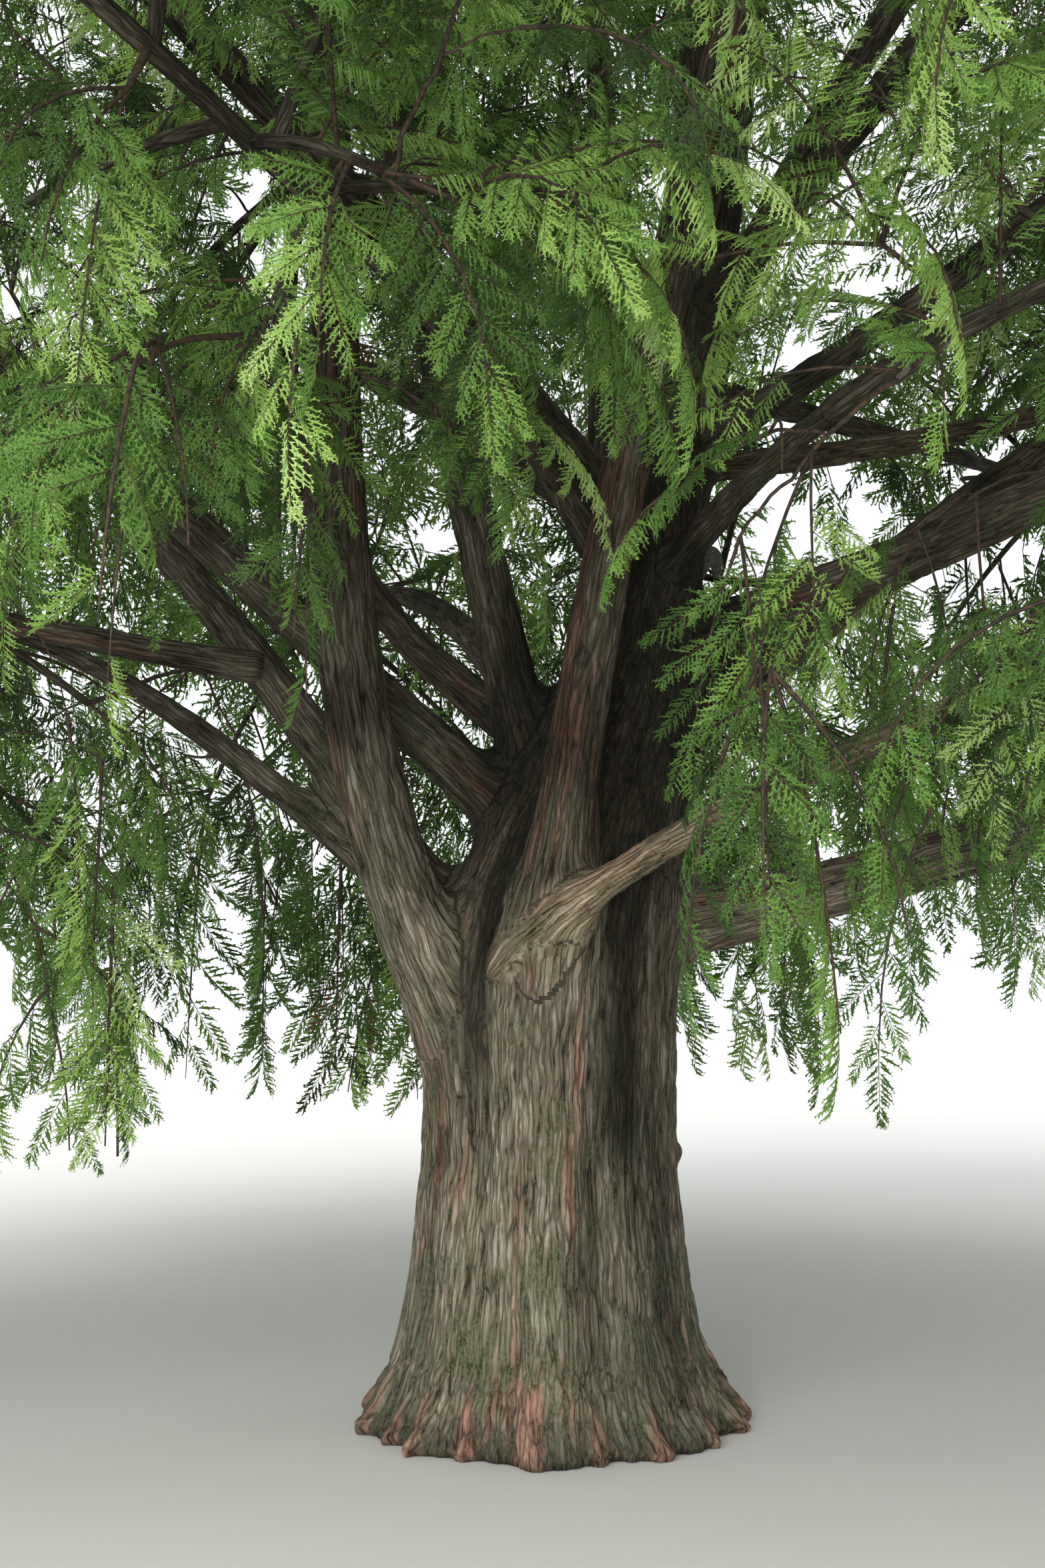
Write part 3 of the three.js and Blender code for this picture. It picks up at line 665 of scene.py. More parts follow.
class GradientNoise:
    """Smooth seeded noise in space, from about -1 to 1 with a mean of 0."""

    SIZE = 256
    GAIN = 1.7

    def __init__(self, seed: int) -> None:
        """Shuffles the table that the noise reads.

        Args:
            seed: the number that the noise follows from.
        """
        random = np.random.default_rng(seed)
        self.order = np.tile(random.permutation(self.SIZE), 2)
        self.slopes = unit(random.normal(size=(self.SIZE, 3)))

    @classmethod
    def several(cls, seed: int, count: int) -> list["GradientNoise"]:
        """Returns a number of noises that differ, from one seed on."""
        return [cls(seed + k) for k in range(count)]

    def at(self, points: np.ndarray) -> np.ndarray:
        """Returns the noise at points that are in its own scale."""
        cell = np.floor(points).astype(int)
        part = points - cell
        fade = part ** 3 * (part * (part * 6 - 15) + 10)
        total = np.zeros(len(points))
        for corner in itertools.product((0, 1), repeat=3):
            x, y, z = ((cell + corner) % self.SIZE).T
            key = self.order[self.order[self.order[x] + y] + z]
            weight = np.where(corner, fade, 1 - fade).prod(1)
            total += weight * ((part - corner) * self.slopes[key]).sum(1)
        return total * self.GAIN


@dataclass
class BarkRelief:
    """Fissured bark: flat fibrous ridges that part and join again, with narrow furrows between them."""

    ridge_pitch: float = 0.06
    ridge_run: float = 0.6
    strip_pitch: float = 0.03
    strip_run: float = 0.2
    waver: float = 0.3
    waver_pitch: float = 0.2
    waver_run: float = 0.6
    depth: float = 0.017
    depth_share: float = 0.12
    floor: float = 0.7
    ridge_edge: float = 0.26
    strip_edge: float = 0.4
    swell: float = 2.3
    shares: tuple[float, float, float] = (0.48, 0.36, 0.16)
    noises: list[GradientNoise] = field(default_factory=lambda: GradientNoise.several(SEED, 5))

    def height(self, grain: np.ndarray) -> np.ndarray:
        """How high the bark stands.

        Args:
            grain: places on the bark, as two directions across its grain and one along it.

        Returns:
            Heights from 0 in a furrow to 1 on a ridge.
        """
        slow = grain / (self.waver_pitch, self.waver_pitch, self.waver_run)
        shift = np.stack((self.noises[0].at(slow), self.noises[1].at(slow), np.zeros(len(grain))), axis=1)
        ridges = grain / (self.ridge_pitch, self.ridge_pitch, self.ridge_run)
        strips = grain / (self.strip_pitch, self.strip_pitch, self.strip_run)
        broad = smooth_step(0, self.ridge_edge, np.abs(self.noises[2].at(ridges + shift * self.waver * 2)))
        fine = smooth_step(0, self.strip_edge, np.abs(self.noises[3].at(strips + shift * self.waver * 4)))
        swollen = smooth_step(-0.8, 0.8, self.noises[4].at(slow * self.swell))
        return sum(share * part for share, part in zip(self.shares, (broad, fine, swollen)))

    def rise(self, height: np.ndarray, radius: np.ndarray) -> np.ndarray:
        """Returns how far the bark stands out from the limb, for its height and the limb's radius."""
        return (height - self.floor) * np.minimum(self.depth, radius * self.depth_share)


@dataclass
class BarkTone:
    """Where bark is red, mossy or pale, and how much shade is painted on it."""

    noises: list[GradientNoise] = field(default_factory=lambda: GradientNoise.several(SEED + 20, 3))
    patch: float = 0.16
    patch_run: float = 0.8
    moss_patch: float = 0.2
    moss_height: float = 0.8
    trunk_reach: float = 1.2
    toe_shadow: float = 0.7
    toe_shadow_height: float = 0.11
    crown_shade: float = 0.68
    crotch_shade: float = 0.5
    mottle: float = 0.22
    mottle_patch: tuple[float, float, float] = (0.28, 0.28, 0.6)
    darkest: float = 0.9

    def at(self, points: np.ndarray, grain: np.ndarray, redness: np.ndarray) -> tuple[np.ndarray, np.ndarray]:
        """How red and how mossy the bark is.

        Args:
            points: places in space.
            grain: the same places along the bark's grain.
            redness: how red the limb is at each place.

        Returns:
            Redness and mossiness from 0 to 1.
        """
        patches = self.noises[0].at(grain / (self.patch, self.patch, self.patch_run))
        spots = self.noises[1].at(grain / (self.patch / 3, self.patch / 3, self.patch_run / 2))
        red = smooth_step(0.5, 1.9, redness + 0.8 * patches + 0.6 * spots + 0.2)
        growth = self.noises[2].at(points / self.moss_patch)
        azimuth, out, heights = round_trunk(points)
        foot = np.exp(-np.clip(heights, 0, None) / self.moss_height)
        moss = smooth_step(0.1, 0.9, 0.28 + 0.5 * foot + 0.55 * growth - 0.4 * red)
        toes = np.clip(1.6 * toe_share(azimuth, heights), 0, 1) * (out < self.trunk_reach)
        toes = toes * (0.7 + 0.3 * smooth_step(-0.7, 0.5, patches + spots))
        return np.clip(red + toes, 0, 1), moss * (1 - toes)

    def shade(self, points: np.ndarray) -> np.ndarray:
        """Returns painted shade under the crown, in the trunk's bands, between stems and between toes."""
        azimuth, out, heights = round_trunk(points)
        # Painted shade in the crotch between the stems.
        crotch = smooth_step(1.7, 2.4, heights) * (1 - smooth_step(0.25, 0.8, out))
        crotch = crotch * (1 - smooth_step(3, 4.5, heights))
        bands = band_shade(azimuth, heights) * (1 - smooth_step(0.65, 0.9, out))
        low = np.exp(-np.clip(heights, 0, None) / self.toe_shadow_height) * (out < self.trunk_reach)
        bands = np.maximum(bands, self.toe_shadow * low * (1 - toe_share(azimuth, heights)))
        # Painted shade under the crown, where the foliage keeps the light off the limbs.
        crown = self.crown_shade * (0.85 * smooth_step(1.5, 2.9, heights) + 0.15 * smooth_step(3, 5, heights))
        # A random mottle of the bark's own tone is added on top of the painted shade.
        mottle = self.mottle * smooth_step(-0.2, 0.9, self.noises[1].at(points / self.mottle_patch))
        return np.clip(np.maximum(crown, bands) + self.crotch_shade * crotch + mottle, 0, self.darkest)


class DistanceGrid:
    """Distances to a surface on a regular grid, which joins one limb after another."""

    FAR = 0.4

    def __init__(self, low: np.ndarray, high: np.ndarray, pitch: float) -> None:
        """Lays out the grid.

        Args:
            low: the block's lowest corner.
            high: its highest corner.
            pitch: distance between grid points.
        """
        self.pitch = pitch
        self.low = np.floor(low / pitch) * pitch
        counts = np.ceil((high - self.low) / pitch).astype(int) + 1
        self.axes = [self.low[axis] + pitch * np.arange(counts[axis]) for axis in range(3)]
        self.values = np.full(counts, self.FAR, np.float32)

    def window(self, low: np.ndarray, high: np.ndarray) -> tuple[tuple[slice, ...], np.ndarray]:
        """The part of the grid inside a box.

        Args:
            low: the box's lowest corner.
            high: its highest corner.

        Returns:
            The part's slices and its points.
        """
        spans = tuple(slice(*np.searchsorted(axis, pair)) for axis, pair in zip(self.axes, zip(low, high)))
        parts = [axis[span] for axis, span in zip(self.axes, spans)]
        return spans, np.stack(np.meshgrid(*parts, indexing="ij"), axis=-1)

    def join(self, other: np.ndarray, spans: tuple[slice, ...], reach: float) -> None:
        """Joins another surface with a smooth hollow.

        Args:
            other: its distances in a part of the grid.
            spans: that part's slices.
            reach: how far apart the surfaces may be where the hollow starts.
        """
        own = self.values[spans]
        share = np.clip(0.5 + 0.5 * (own - other) / reach, 0, 1)
        self.values[spans] = own * (1 - share) + other * share - reach * share * (1 - share)

    def add_limb(self, limb: Limb, reach: float) -> None:
        """Joins a limb as a row of round cones.

        Args:
            limb: the stretch of limb.
            reach: how far its hollow reaches.
        """
        margin = limb.radius.max() + self.FAR
        low, high = limb.points.min(0) - margin, limb.points.max(0) + margin
        spans, _ = self.window(low, high)
        own = np.full_like(self.values, self.FAR)
        for first, last in limb.steps():
            start, end = limb.points[first], limb.points[last]
            some, points = self.window(np.minimum(start, end) - margin, np.maximum(start, end) + margin)
            away, _ = distance_to_step(points, limb, first, last)
            own[some] = np.minimum(own[some], away)
        self.join(own[spans], spans, reach)

    def surface(self) -> tuple[np.ndarray, np.ndarray]:
        """Returns the corners and the four-sided faces of the surface at a distance of 0."""
        grid = openvdb.FloatGrid(self.FAR)
        grid.copyFromArray(self.values)
        grid.transform = openvdb.createLinearTransform(voxelSize=self.pitch)
        points, quads = grid.convertToQuads(isovalue=0.0)
        return points + self.low, quads


def distance_to_step(points: np.ndarray, limb: Limb, first: int, last: int) -> tuple[np.ndarray, np.ndarray]:
    """How far points are from the surface of one step of a limb.

    Args:
        points: the points.
        limb: the limb.
        first: number of the step's first station.
        last: number of its last one.

    Returns:
        The distances, and how far along the step each point is, from 0 to 1.
    """
    start, end = limb.points[first], limb.points[last]
    axis = end - start
    share = np.clip((points - start) @ axis / (axis @ axis), 0, 1)
    radius = limb.radius[first] + (limb.radius[last] - limb.radius[first]) * share
    return np.linalg.norm(points - start - share[..., None] * axis, axis=-1) - radius, share


def add_node(tree: NodeTree, kind: str, inputs: dict | None = None, **settings: object) -> Node:
    """Adds a node with its settings and links.

    Args:
        tree: the tree that it goes into.
        kind: Blender's name for the kind of node.
        inputs: a value or an output socket for each input, by name or number.
        settings: values of the node's own properties.

    Returns:
        The node.
    """
    node = tree.nodes.new(kind)
    for name, value in settings.items():
        setattr(node, name, value)
    for key, value in (inputs or {}).items():
        if isinstance(value, NodeSocket):
            tree.links.new(value, node.inputs[key])
        else:
            node.inputs[key].default_value = value
    return node


def linear(colour: str) -> tuple[float, float, float, float]:
    """Returns an sRGB hex colour as linear light, with an alpha of 1."""
    channels = [int(colour[i:i + 2], 16) / 255 for i in (1, 3, 5)]
    return (*[c / 12.92 if c <= 0.04045 else ((c + 0.055) / 1.055) ** 2.4 for c in channels], 1.0)


def new_material(name: str) -> tuple[Material, NodeTree]:
    """Returns a material with an empty node tree, and the tree."""
    material = bpy.data.materials.new(name)
    material.use_nodes = True
    material.node_tree.nodes.clear()
    return material, material.node_tree


def end_material(tree: NodeTree, inputs: dict) -> None:
    """Ends a material's tree with one shader, which is given a value or a socket for each input."""
    shader = add_node(tree, "ShaderNodeBsdfPrincipled", inputs)
    add_node(tree, "ShaderNodeOutputMaterial", {"Surface": shader.outputs[0]})


def colour_ramp(tree: NodeTree, value: NodeSocket, *stops: tuple[float, str]) -> NodeSocket:
    """Returns the socket of a colour that goes from one stop's hex colour to the next as a value rises."""
    ramp = add_node(tree, "ShaderNodeValToRGB", {"Fac": value})
    elements = ramp.color_ramp.elements
    elements.remove(elements[-1])
    elements[0].position, elements[0].color = stops[0][0], linear(stops[0][1])
    for place, colour in stops[1:]:
        elements.new(place).color = linear(colour)
    return ramp.outputs["Color"]


@dataclass(frozen=True)
class BarkFinish:
    """Weathered cypress bark, soft, stringy and fissured: matt grey-brown fibre over red inner bark.

    The mesh carries the broad ridges. The cracks between strips and the strips' own fibres are drawn here,
    the fibres 4.5 mm wide where the real ones are under 2 mm, which is too fine to show from the camera.
    """

    name: str = "cypress_bark"
    furrow: str = "#221e17"
    fibre: str = "#877d6b"
    ridge: str = "#d3cbbb"
    inner: str = "#8b6453"
    bare: str = "#b29388"
    # The colour that the painted shade multiplies into the bark.
    dark: str = "#29261d"
    pale: str = "#e4dad1"
    moss: str = "#454b2d"
    lichen: str = "#747e66"
    strip_pitch: tuple[float, float] = (0.021, 0.32)
    fibre_pitch: tuple[float, float] = (0.0045, 0.11)
    waver: float = 0.035
    knot_scale: float = 42.0
    speck_scale: float = 75.0
    roughness: float = 0.93
    specular: float = 0.2
    bump: float = 0.006

    def make(self) -> Material:
        """Returns the material, which reads the bark's grain, tone, paleness and shade from the mesh."""
        material, tree = new_material(self.name)
        grain = self.read(tree, "grain", "Vector")
        tones = add_node(tree, "ShaderNodeSeparateColor", {"Color": self.read(tree, "tone", "Color")}).outputs
        sure = self.read(tree, "tone", "Alpha")
        waves = self.noise(tree, grain, 7.0, 2.0, "Color")
        bent = add_node(tree, "ShaderNodeVectorMath", {0: waves, 1: (self.waver, self.waver, 0), 2: grain},
                        operation="MULTIPLY_ADD").outputs[0]
        place = self.drawn_out(tree, bent, self.strip_pitch)
        edges = add_node(tree, "ShaderNodeTexVoronoi", {"Vector": place, "Scale": 1.0},
                         feature="DISTANCE_TO_EDGE").outputs["Distance"]
        strips = add_node(tree, "ShaderNodeTexVoronoi", {"Vector": place, "Scale": 1.0}).outputs["Color"]
        own = add_node(tree, "ShaderNodeSeparateColor", {"Color": strips}).outputs["Red"]
        own = self.kept(tree, own, 0.5, sure)
        around = add_node(tree, "ShaderNodeTexCoord").outputs["Object"]
        knotted = self.noise(tree, around, self.knot_scale, 5.0, distortion=0.7)
        knots = self.stepped(tree, knotted, 0.3, 0.5)
        cracks = self.kept(tree, self.stepped(tree, edges, 0.0, 0.2), knots, sure)
        fibres = self.noise(tree, self.drawn_out(tree, bent, self.fibre_pitch), 1.0, 3.0)
        fibres = self.kept(tree, fibres, knotted, sure)
        height = self.summed(tree, ((tones["Red"], 0.3), (cracks, 0.23), (fibres, 0.72), (own, 0.16)), -0.34)
        # From the furrow colour in the cracks up to the ridge colour: the cracks' darkness is partly the
        # bark's own colour and partly painted shade.
        grey = colour_ramp(tree, height, (0.12, self.furrow), (0.52, self.fibre), (0.86, self.ridge))
        redness = self.stepped(tree, self.summed(tree, ((tones["Green"], 1.0), (own, 0.5)), -0.3), 0.0, 1.0)
        reddish = self.mixed(tree, redness, grey, self.inner, "COLOR")
        bared = self.summed(tree, ((redness, 0.8), (height, 0.6)), -0.78)
        reddish = self.mixed(tree, self.stepped(tree, bared, 0.0, 1.0), reddish, self.bare, "MIX")
        greyed = self.mixed(tree, self.read(tree, "pale", "Fac"), reddish, self.pale, "OVERLAY")
        mossy = self.mixed(tree, self.summed(tree, ((tones["Blue"], 0.42),), 0.0), greyed, self.moss, "MIX")
        specks = self.noise(tree, grain, self.speck_scale, 4.0)
        grown = self.stepped(tree, self.summed(tree, ((tones["Blue"], 0.12),), specks), 0.6, 0.7)
        specked = self.mixed(tree, self.summed(tree, ((grown, 0.45),), 0.0), mossy, self.lichen, "MIX")
        # Painted shade: the shade attribute multiplies the dark colour in under the crown, in the bands and
        # crotches.
        colour = self.mixed(tree, self.read(tree, "shade", "Fac"), specked, self.dark, "MULTIPLY")
        raised = self.summed(tree, ((cracks, 0.7), (fibres, 0.7)), 0.0)
        bump = add_node(tree, "ShaderNodeBump", {"Height": raised, "Distance": self.bump, "Strength": 0.9})
        end_material(tree, {"Base Color": colour, "Roughness": self.roughness,
                            "Specular IOR Level": self.specular, "Normal": bump.outputs[0]})
        return material

    @staticmethod
    def noise(tree: NodeTree, place: NodeSocket, scale: float, detail: float, output: str = "Fac",
              distortion: float = 0.0) -> NodeSocket:
        """Returns the socket of a noise at a place."""
        return add_node(tree, "ShaderNodeTexNoise", {"Vector": place, "Scale": scale, "Detail": detail,
                                                     "Distortion": distortion}).outputs[output]

    @staticmethod
    def read(tree: NodeTree, name: str, output: str) -> NodeSocket:
        """Returns the socket of one of the mesh's attributes."""
        return add_node(tree, "ShaderNodeAttribute", attribute_name=name).outputs[output]

    @staticmethod
    def drawn_out(tree: NodeTree, place: NodeSocket,
                  pitch: tuple[float, float]) -> NodeSocket:
        """Returns the socket of a place on the grain, scaled by a pattern's size across and along it."""
        scale = (1 / pitch[0], 1 / pitch[0], 1 / pitch[1])
        return add_node(tree, "ShaderNodeMapping", {"Vector": place, "Scale": scale}).outputs[0]

    @staticmethod
    def stepped(tree: NodeTree, value: NodeSocket, low: float,
                high: float) -> NodeSocket:
        """Returns the socket of a smooth rise from 0 to 1 as a value goes from low to high."""
        return add_node(tree, "ShaderNodeMapRange", {"Value": value, "From Min": low, "From Max": high},
                        interpolation_type="SMOOTHSTEP").outputs[0]

    @staticmethod
    def kept(tree: NodeTree, value: NodeSocket, other: float | NodeSocket,
             share: NodeSocket) -> NodeSocket:
        """Returns the socket of a value that gives way to another where two limbs' grains meet."""
        return add_node(tree, "ShaderNodeMix", {0: share, 2: other, 3: value}, data_type="FLOAT").outputs[0]

    @staticmethod
    def summed(tree: NodeTree, parts: tuple, start: float | NodeSocket) -> NodeSocket:
        """Returns the socket of a sum of weighted values and a start."""
        for value, weight in parts:
            start = add_node(tree, "ShaderNodeMath", {0: value, 1: weight, 2: start},
                             operation="MULTIPLY_ADD").outputs[0]
        return start

    @staticmethod
    def mixed(tree: NodeTree, share: NodeSocket, under: NodeSocket, colour: str,
              way: str) -> NodeSocket:
        """Lays a colour over another.

        Args:
            tree: the material's tree.
            share: how much of the colour shows.
            under: the colour below.
            colour: the colour laid over it, in hex.
            way: Blender's name for the way of mixing.

        Returns:
            The mixed colour's socket.
        """
        node = add_node(tree, "ShaderNodeMix", {0: share, 6: under, 7: linear(colour)}, data_type="RGBA",
                        blend_type=way)
        return node.outputs[2]


@dataclass(frozen=True)
class TwigFinish:
    """Young twig bark: smooth, thin and red-brown, with a dull shine and grey older stretches."""

    name: str = "cypress_twig_bark"
    young: str = "#55402f"
    old: str = "#2b2620"
    stretch: float = 45.0
    roughness: float = 0.8
    bump: float = 0.003

    def make(self) -> Material:
        """Returns the material."""
        material, tree = new_material(self.name)
        place = add_node(tree, "ShaderNodeTexCoord").outputs["Object"]
        patches = add_node(tree, "ShaderNodeTexNoise", {"Vector": place, "Scale": self.stretch,
                                                        "Detail": 4.0}).outputs["Fac"]
        colour = colour_ramp(tree, patches, (0.4, self.old), (0.62, self.young))
        bump = add_node(tree, "ShaderNodeBump", {"Height": patches, "Distance": self.bump}).outputs[0]
        end_material(tree, {"Base Color": colour, "Roughness": self.roughness, "Normal": bump})
        return material


class NeedleTint(Enum):
    """Painted light and shade on one needle green, from deep shade to the lit tips, and the few dead ones."""

    SHADE = "#374d25"
    DEEP = "#4b6a30"
    LEAF = "#62853e"
    FRESH = "#7a9d4c"
    BRIGHT = "#93b45d"
    TIP = "#aac478"
    RUST = "#6f5034"


@dataclass(frozen=True)
class NeedleFinish:
    """Soft flat needles: a thin waxy skin that gives a broad, faint shine over one plain green."""

    tint: NeedleTint
    roughness: float = 0.6
    specular: float = 0.2

    def make(self) -> Material:
        """Returns the material."""
        material, tree = new_material(f"cypress_needles_{self.tint.name.lower()}")
        end_material(tree, {"Base Color": linear(self.tint.value), "Roughness": self.roughness,
                            "Specular IOR Level": self.specular})
        return material


def new_mesh(name: str, points: np.ndarray, faces: list | np.ndarray, edges: list | np.ndarray = ()) -> Mesh:
    """Returns a mesh of points with faces or edges."""
    mesh = bpy.data.meshes.new(name)
    mesh.from_pydata(points.tolist(), [list(edge) for edge in edges], [list(face) for face in faces])
    mesh.update()
    return mesh


def quad_mesh(name: str, points: np.ndarray, quads: np.ndarray) -> Mesh:
    """Makes a mesh of four-sided faces quickly.

    Args:
        name: the mesh's name.
        points: a row for each corner.
        quads: a row of four corner numbers for each face.

    Returns:
        The mesh.
    """
    mesh = bpy.data.meshes.new(name)
    mesh.vertices.add(len(points))
    mesh.vertices.foreach_set("co", points.astype(np.float32).ravel())
    mesh.loops.add(quads.size)
    mesh.loops.foreach_set("vertex_index", quads.astype(np.int32).ravel())
    mesh.polygons.add(len(quads))
    mesh.polygons.foreach_set("loop_start", np.arange(0, quads.size, 4, dtype=np.int32))
    mesh.update(calc_edges=True)
    return mesh


def placed(mesh: Mesh) -> Object:
    """Returns a new object of a mesh, in the scene and at the origin."""
    made = bpy.data.objects.new(mesh.name, mesh)
    bpy.context.scene.collection.objects.link(made)
    return made


def put_attribute(mesh: Mesh, name: str, kind: str, values: np.ndarray) -> None:
    """Gives each corner of a mesh a value.

    Args:
        mesh: the mesh.
        name: the attribute's name.
        kind: Blender's name for the kind of value.
        values: a value or a row of them for each corner.
    """
    slot = {"FLOAT_VECTOR": "vector", "FLOAT_COLOR": "color"}.get(kind, "value")
    values = values.astype(np.int32 if kind == "INT" else np.float32)
    mesh.attributes.new(name, kind, "POINT").data.foreach_set(slot, values.ravel())


def read_vectors(mesh: Mesh, what: str) -> np.ndarray:
    """Returns the places ("co") or the normals ("normal") of a mesh's corners."""
    values = np.zeros(len(mesh.vertices) * 3, np.float32)
    mesh.vertices.foreach_get(what, values)
    return values.reshape(-1, 3).astype(float)


def with_nodes(source: Object, tree: NodeTree, values: dict[str, object],
               name: str) -> Object:
    """Runs a geometry tree on an object and keeps the result as a plain mesh.

    Args:
        source: the object, which is removed.
        tree: the geometry tree.
        values: a value for each named input.
        name: the new object's name.

    Returns:
        The new object.
    """
    modifier = source.modifiers.new("growth", "NODES")
    modifier.node_group = tree
    for item in tree.interface.items_tree:
        if item.item_type == "SOCKET" and item.in_out == "INPUT" and item.name in values:
            modifier[item.identifier] = values[item.name]
    evaluated = source.evaluated_get(bpy.context.evaluated_depsgraph_get())
    mesh = bpy.data.meshes.new_from_object(evaluated)
    source.modifiers.remove(modifier)
    mesh.name = name
    bpy.data.objects.remove(source)
    return placed(mesh)


def new_tree(name: str, inputs: dict[str, str]) -> tuple[NodeTree, dict, NodeSocket]:
    """Starts a geometry tree.

    Args:
        name: the tree's name.
        inputs: Blender's socket type for each named input, besides the geometry.

    Returns:
        The tree, its input sockets by name, and the function's input geometry.
    """
    tree = bpy.data.node_groups.new(name, "GeometryNodeTree")
    tree.interface.new_socket("Geometry", in_out="INPUT", socket_type="NodeSocketGeometry")
    tree.interface.new_socket("Geometry", in_out="OUTPUT", socket_type="NodeSocketGeometry")
    for label, kind in inputs.items():
        tree.interface.new_socket(label, in_out="INPUT", socket_type=kind)
    sockets = {socket.name: socket for socket in tree.nodes.new("NodeGroupInput").outputs if socket.name}
    return tree, sockets, sockets["Geometry"]


def end_tree(tree: NodeTree, geometry: NodeSocket, finish: NodeSocket,
             spent: tuple[str, ...]) -> None:
    """Ends a geometry tree with its instances made real and its material set.

    Args:
        tree: the tree.
        geometry: the geometry so far.
        finish: the material's socket.
        spent: attributes that are no longer needed.
    """
    for name in spent:
        kept = add_node(tree, "GeometryNodeRemoveAttribute", {"Geometry": geometry, "Name": name})
        geometry = kept.outputs[0]
    real = add_node(tree, "GeometryNodeRealizeInstances", {"Geometry": geometry}).outputs[0]
    dressed = add_node(tree, "GeometryNodeSetMaterial", {"Geometry": real, "Material": finish}).outputs[0]
    add_node(tree, "NodeGroupOutput", {0: dressed})


def twig_tree() -> NodeTree:
    """Returns the geometry tree that makes a tapering tube along every row of edges."""
    tree, sockets, geometry = new_tree("twigs_on_paths", {"Sides": "NodeSocketInt",
                                                          "Thickness": "NodeSocketFloat",
                                                          "Finish": "NodeSocketMaterial"})
    curve = add_node(tree, "GeometryNodeMeshToCurve", {"Mesh": geometry}).outputs[0]
    width = add_node(tree, "GeometryNodeInputNamedAttribute", {"Name": "width"}, data_type="FLOAT").outputs[0]
    ring = add_node(tree, "GeometryNodeCurvePrimitiveCircle", {"Resolution": sockets["Sides"],
                                                               "Radius": sockets["Thickness"]}).outputs[0]
    tube = add_node(tree, "GeometryNodeCurveToMesh", {"Curve": curve, "Profile Curve": ring, "Scale": width,
                                                      "Fill Caps": True}).outputs[0]
    end_tree(tree, tube, sockets["Finish"], ("width",))
    return tree


def growth_tree() -> NodeTree:
    """Returns the geometry tree that puts a shape on every point, turned and stretched as the point says."""
    tree, sockets, geometry = new_tree("shapes_on_shoots", {"Shapes": "NodeSocketCollection",
                                                            "Size": "NodeSocketFloat",
                                                            "Finish": "NodeSocketMaterial"})
    kinds = {"along": "FLOAT_VECTOR", "normal_way": "FLOAT_VECTOR", "stretch": "FLOAT_VECTOR", "kind": "INT"}
    read = {name: add_node(tree, "GeometryNodeInputNamedAttribute", {"Name": name}, data_type=kind).outputs[0]
            for name, kind in kinds.items()}
    turned = add_node(tree, "FunctionNodeAxesToRotation", {0: read["along"], 1: read["normal_way"]},
                      primary_axis="X", secondary_axis="Z").outputs[0]
    size = add_node(tree, "ShaderNodeVectorMath", {0: read["stretch"], "Scale": sockets["Size"]},
                    operation="SCALE").outputs[0]
    shapes = add_node(tree, "GeometryNodeCollectionInfo", {"Collection": sockets["Shapes"],
                                                           "Separate Children": True,
                                                           "Reset Children": True}).outputs[0]
    placed_on = add_node(tree, "GeometryNodeInstanceOnPoints", {"Points": geometry, "Instance": shapes,
                                                                "Pick Instance": True,
                                                                "Instance Index": read["kind"],
                                                                "Rotation": turned, "Scale": size}).outputs[0]
    end_tree(tree, placed_on, sockets["Finish"], tuple(kinds))
    return tree


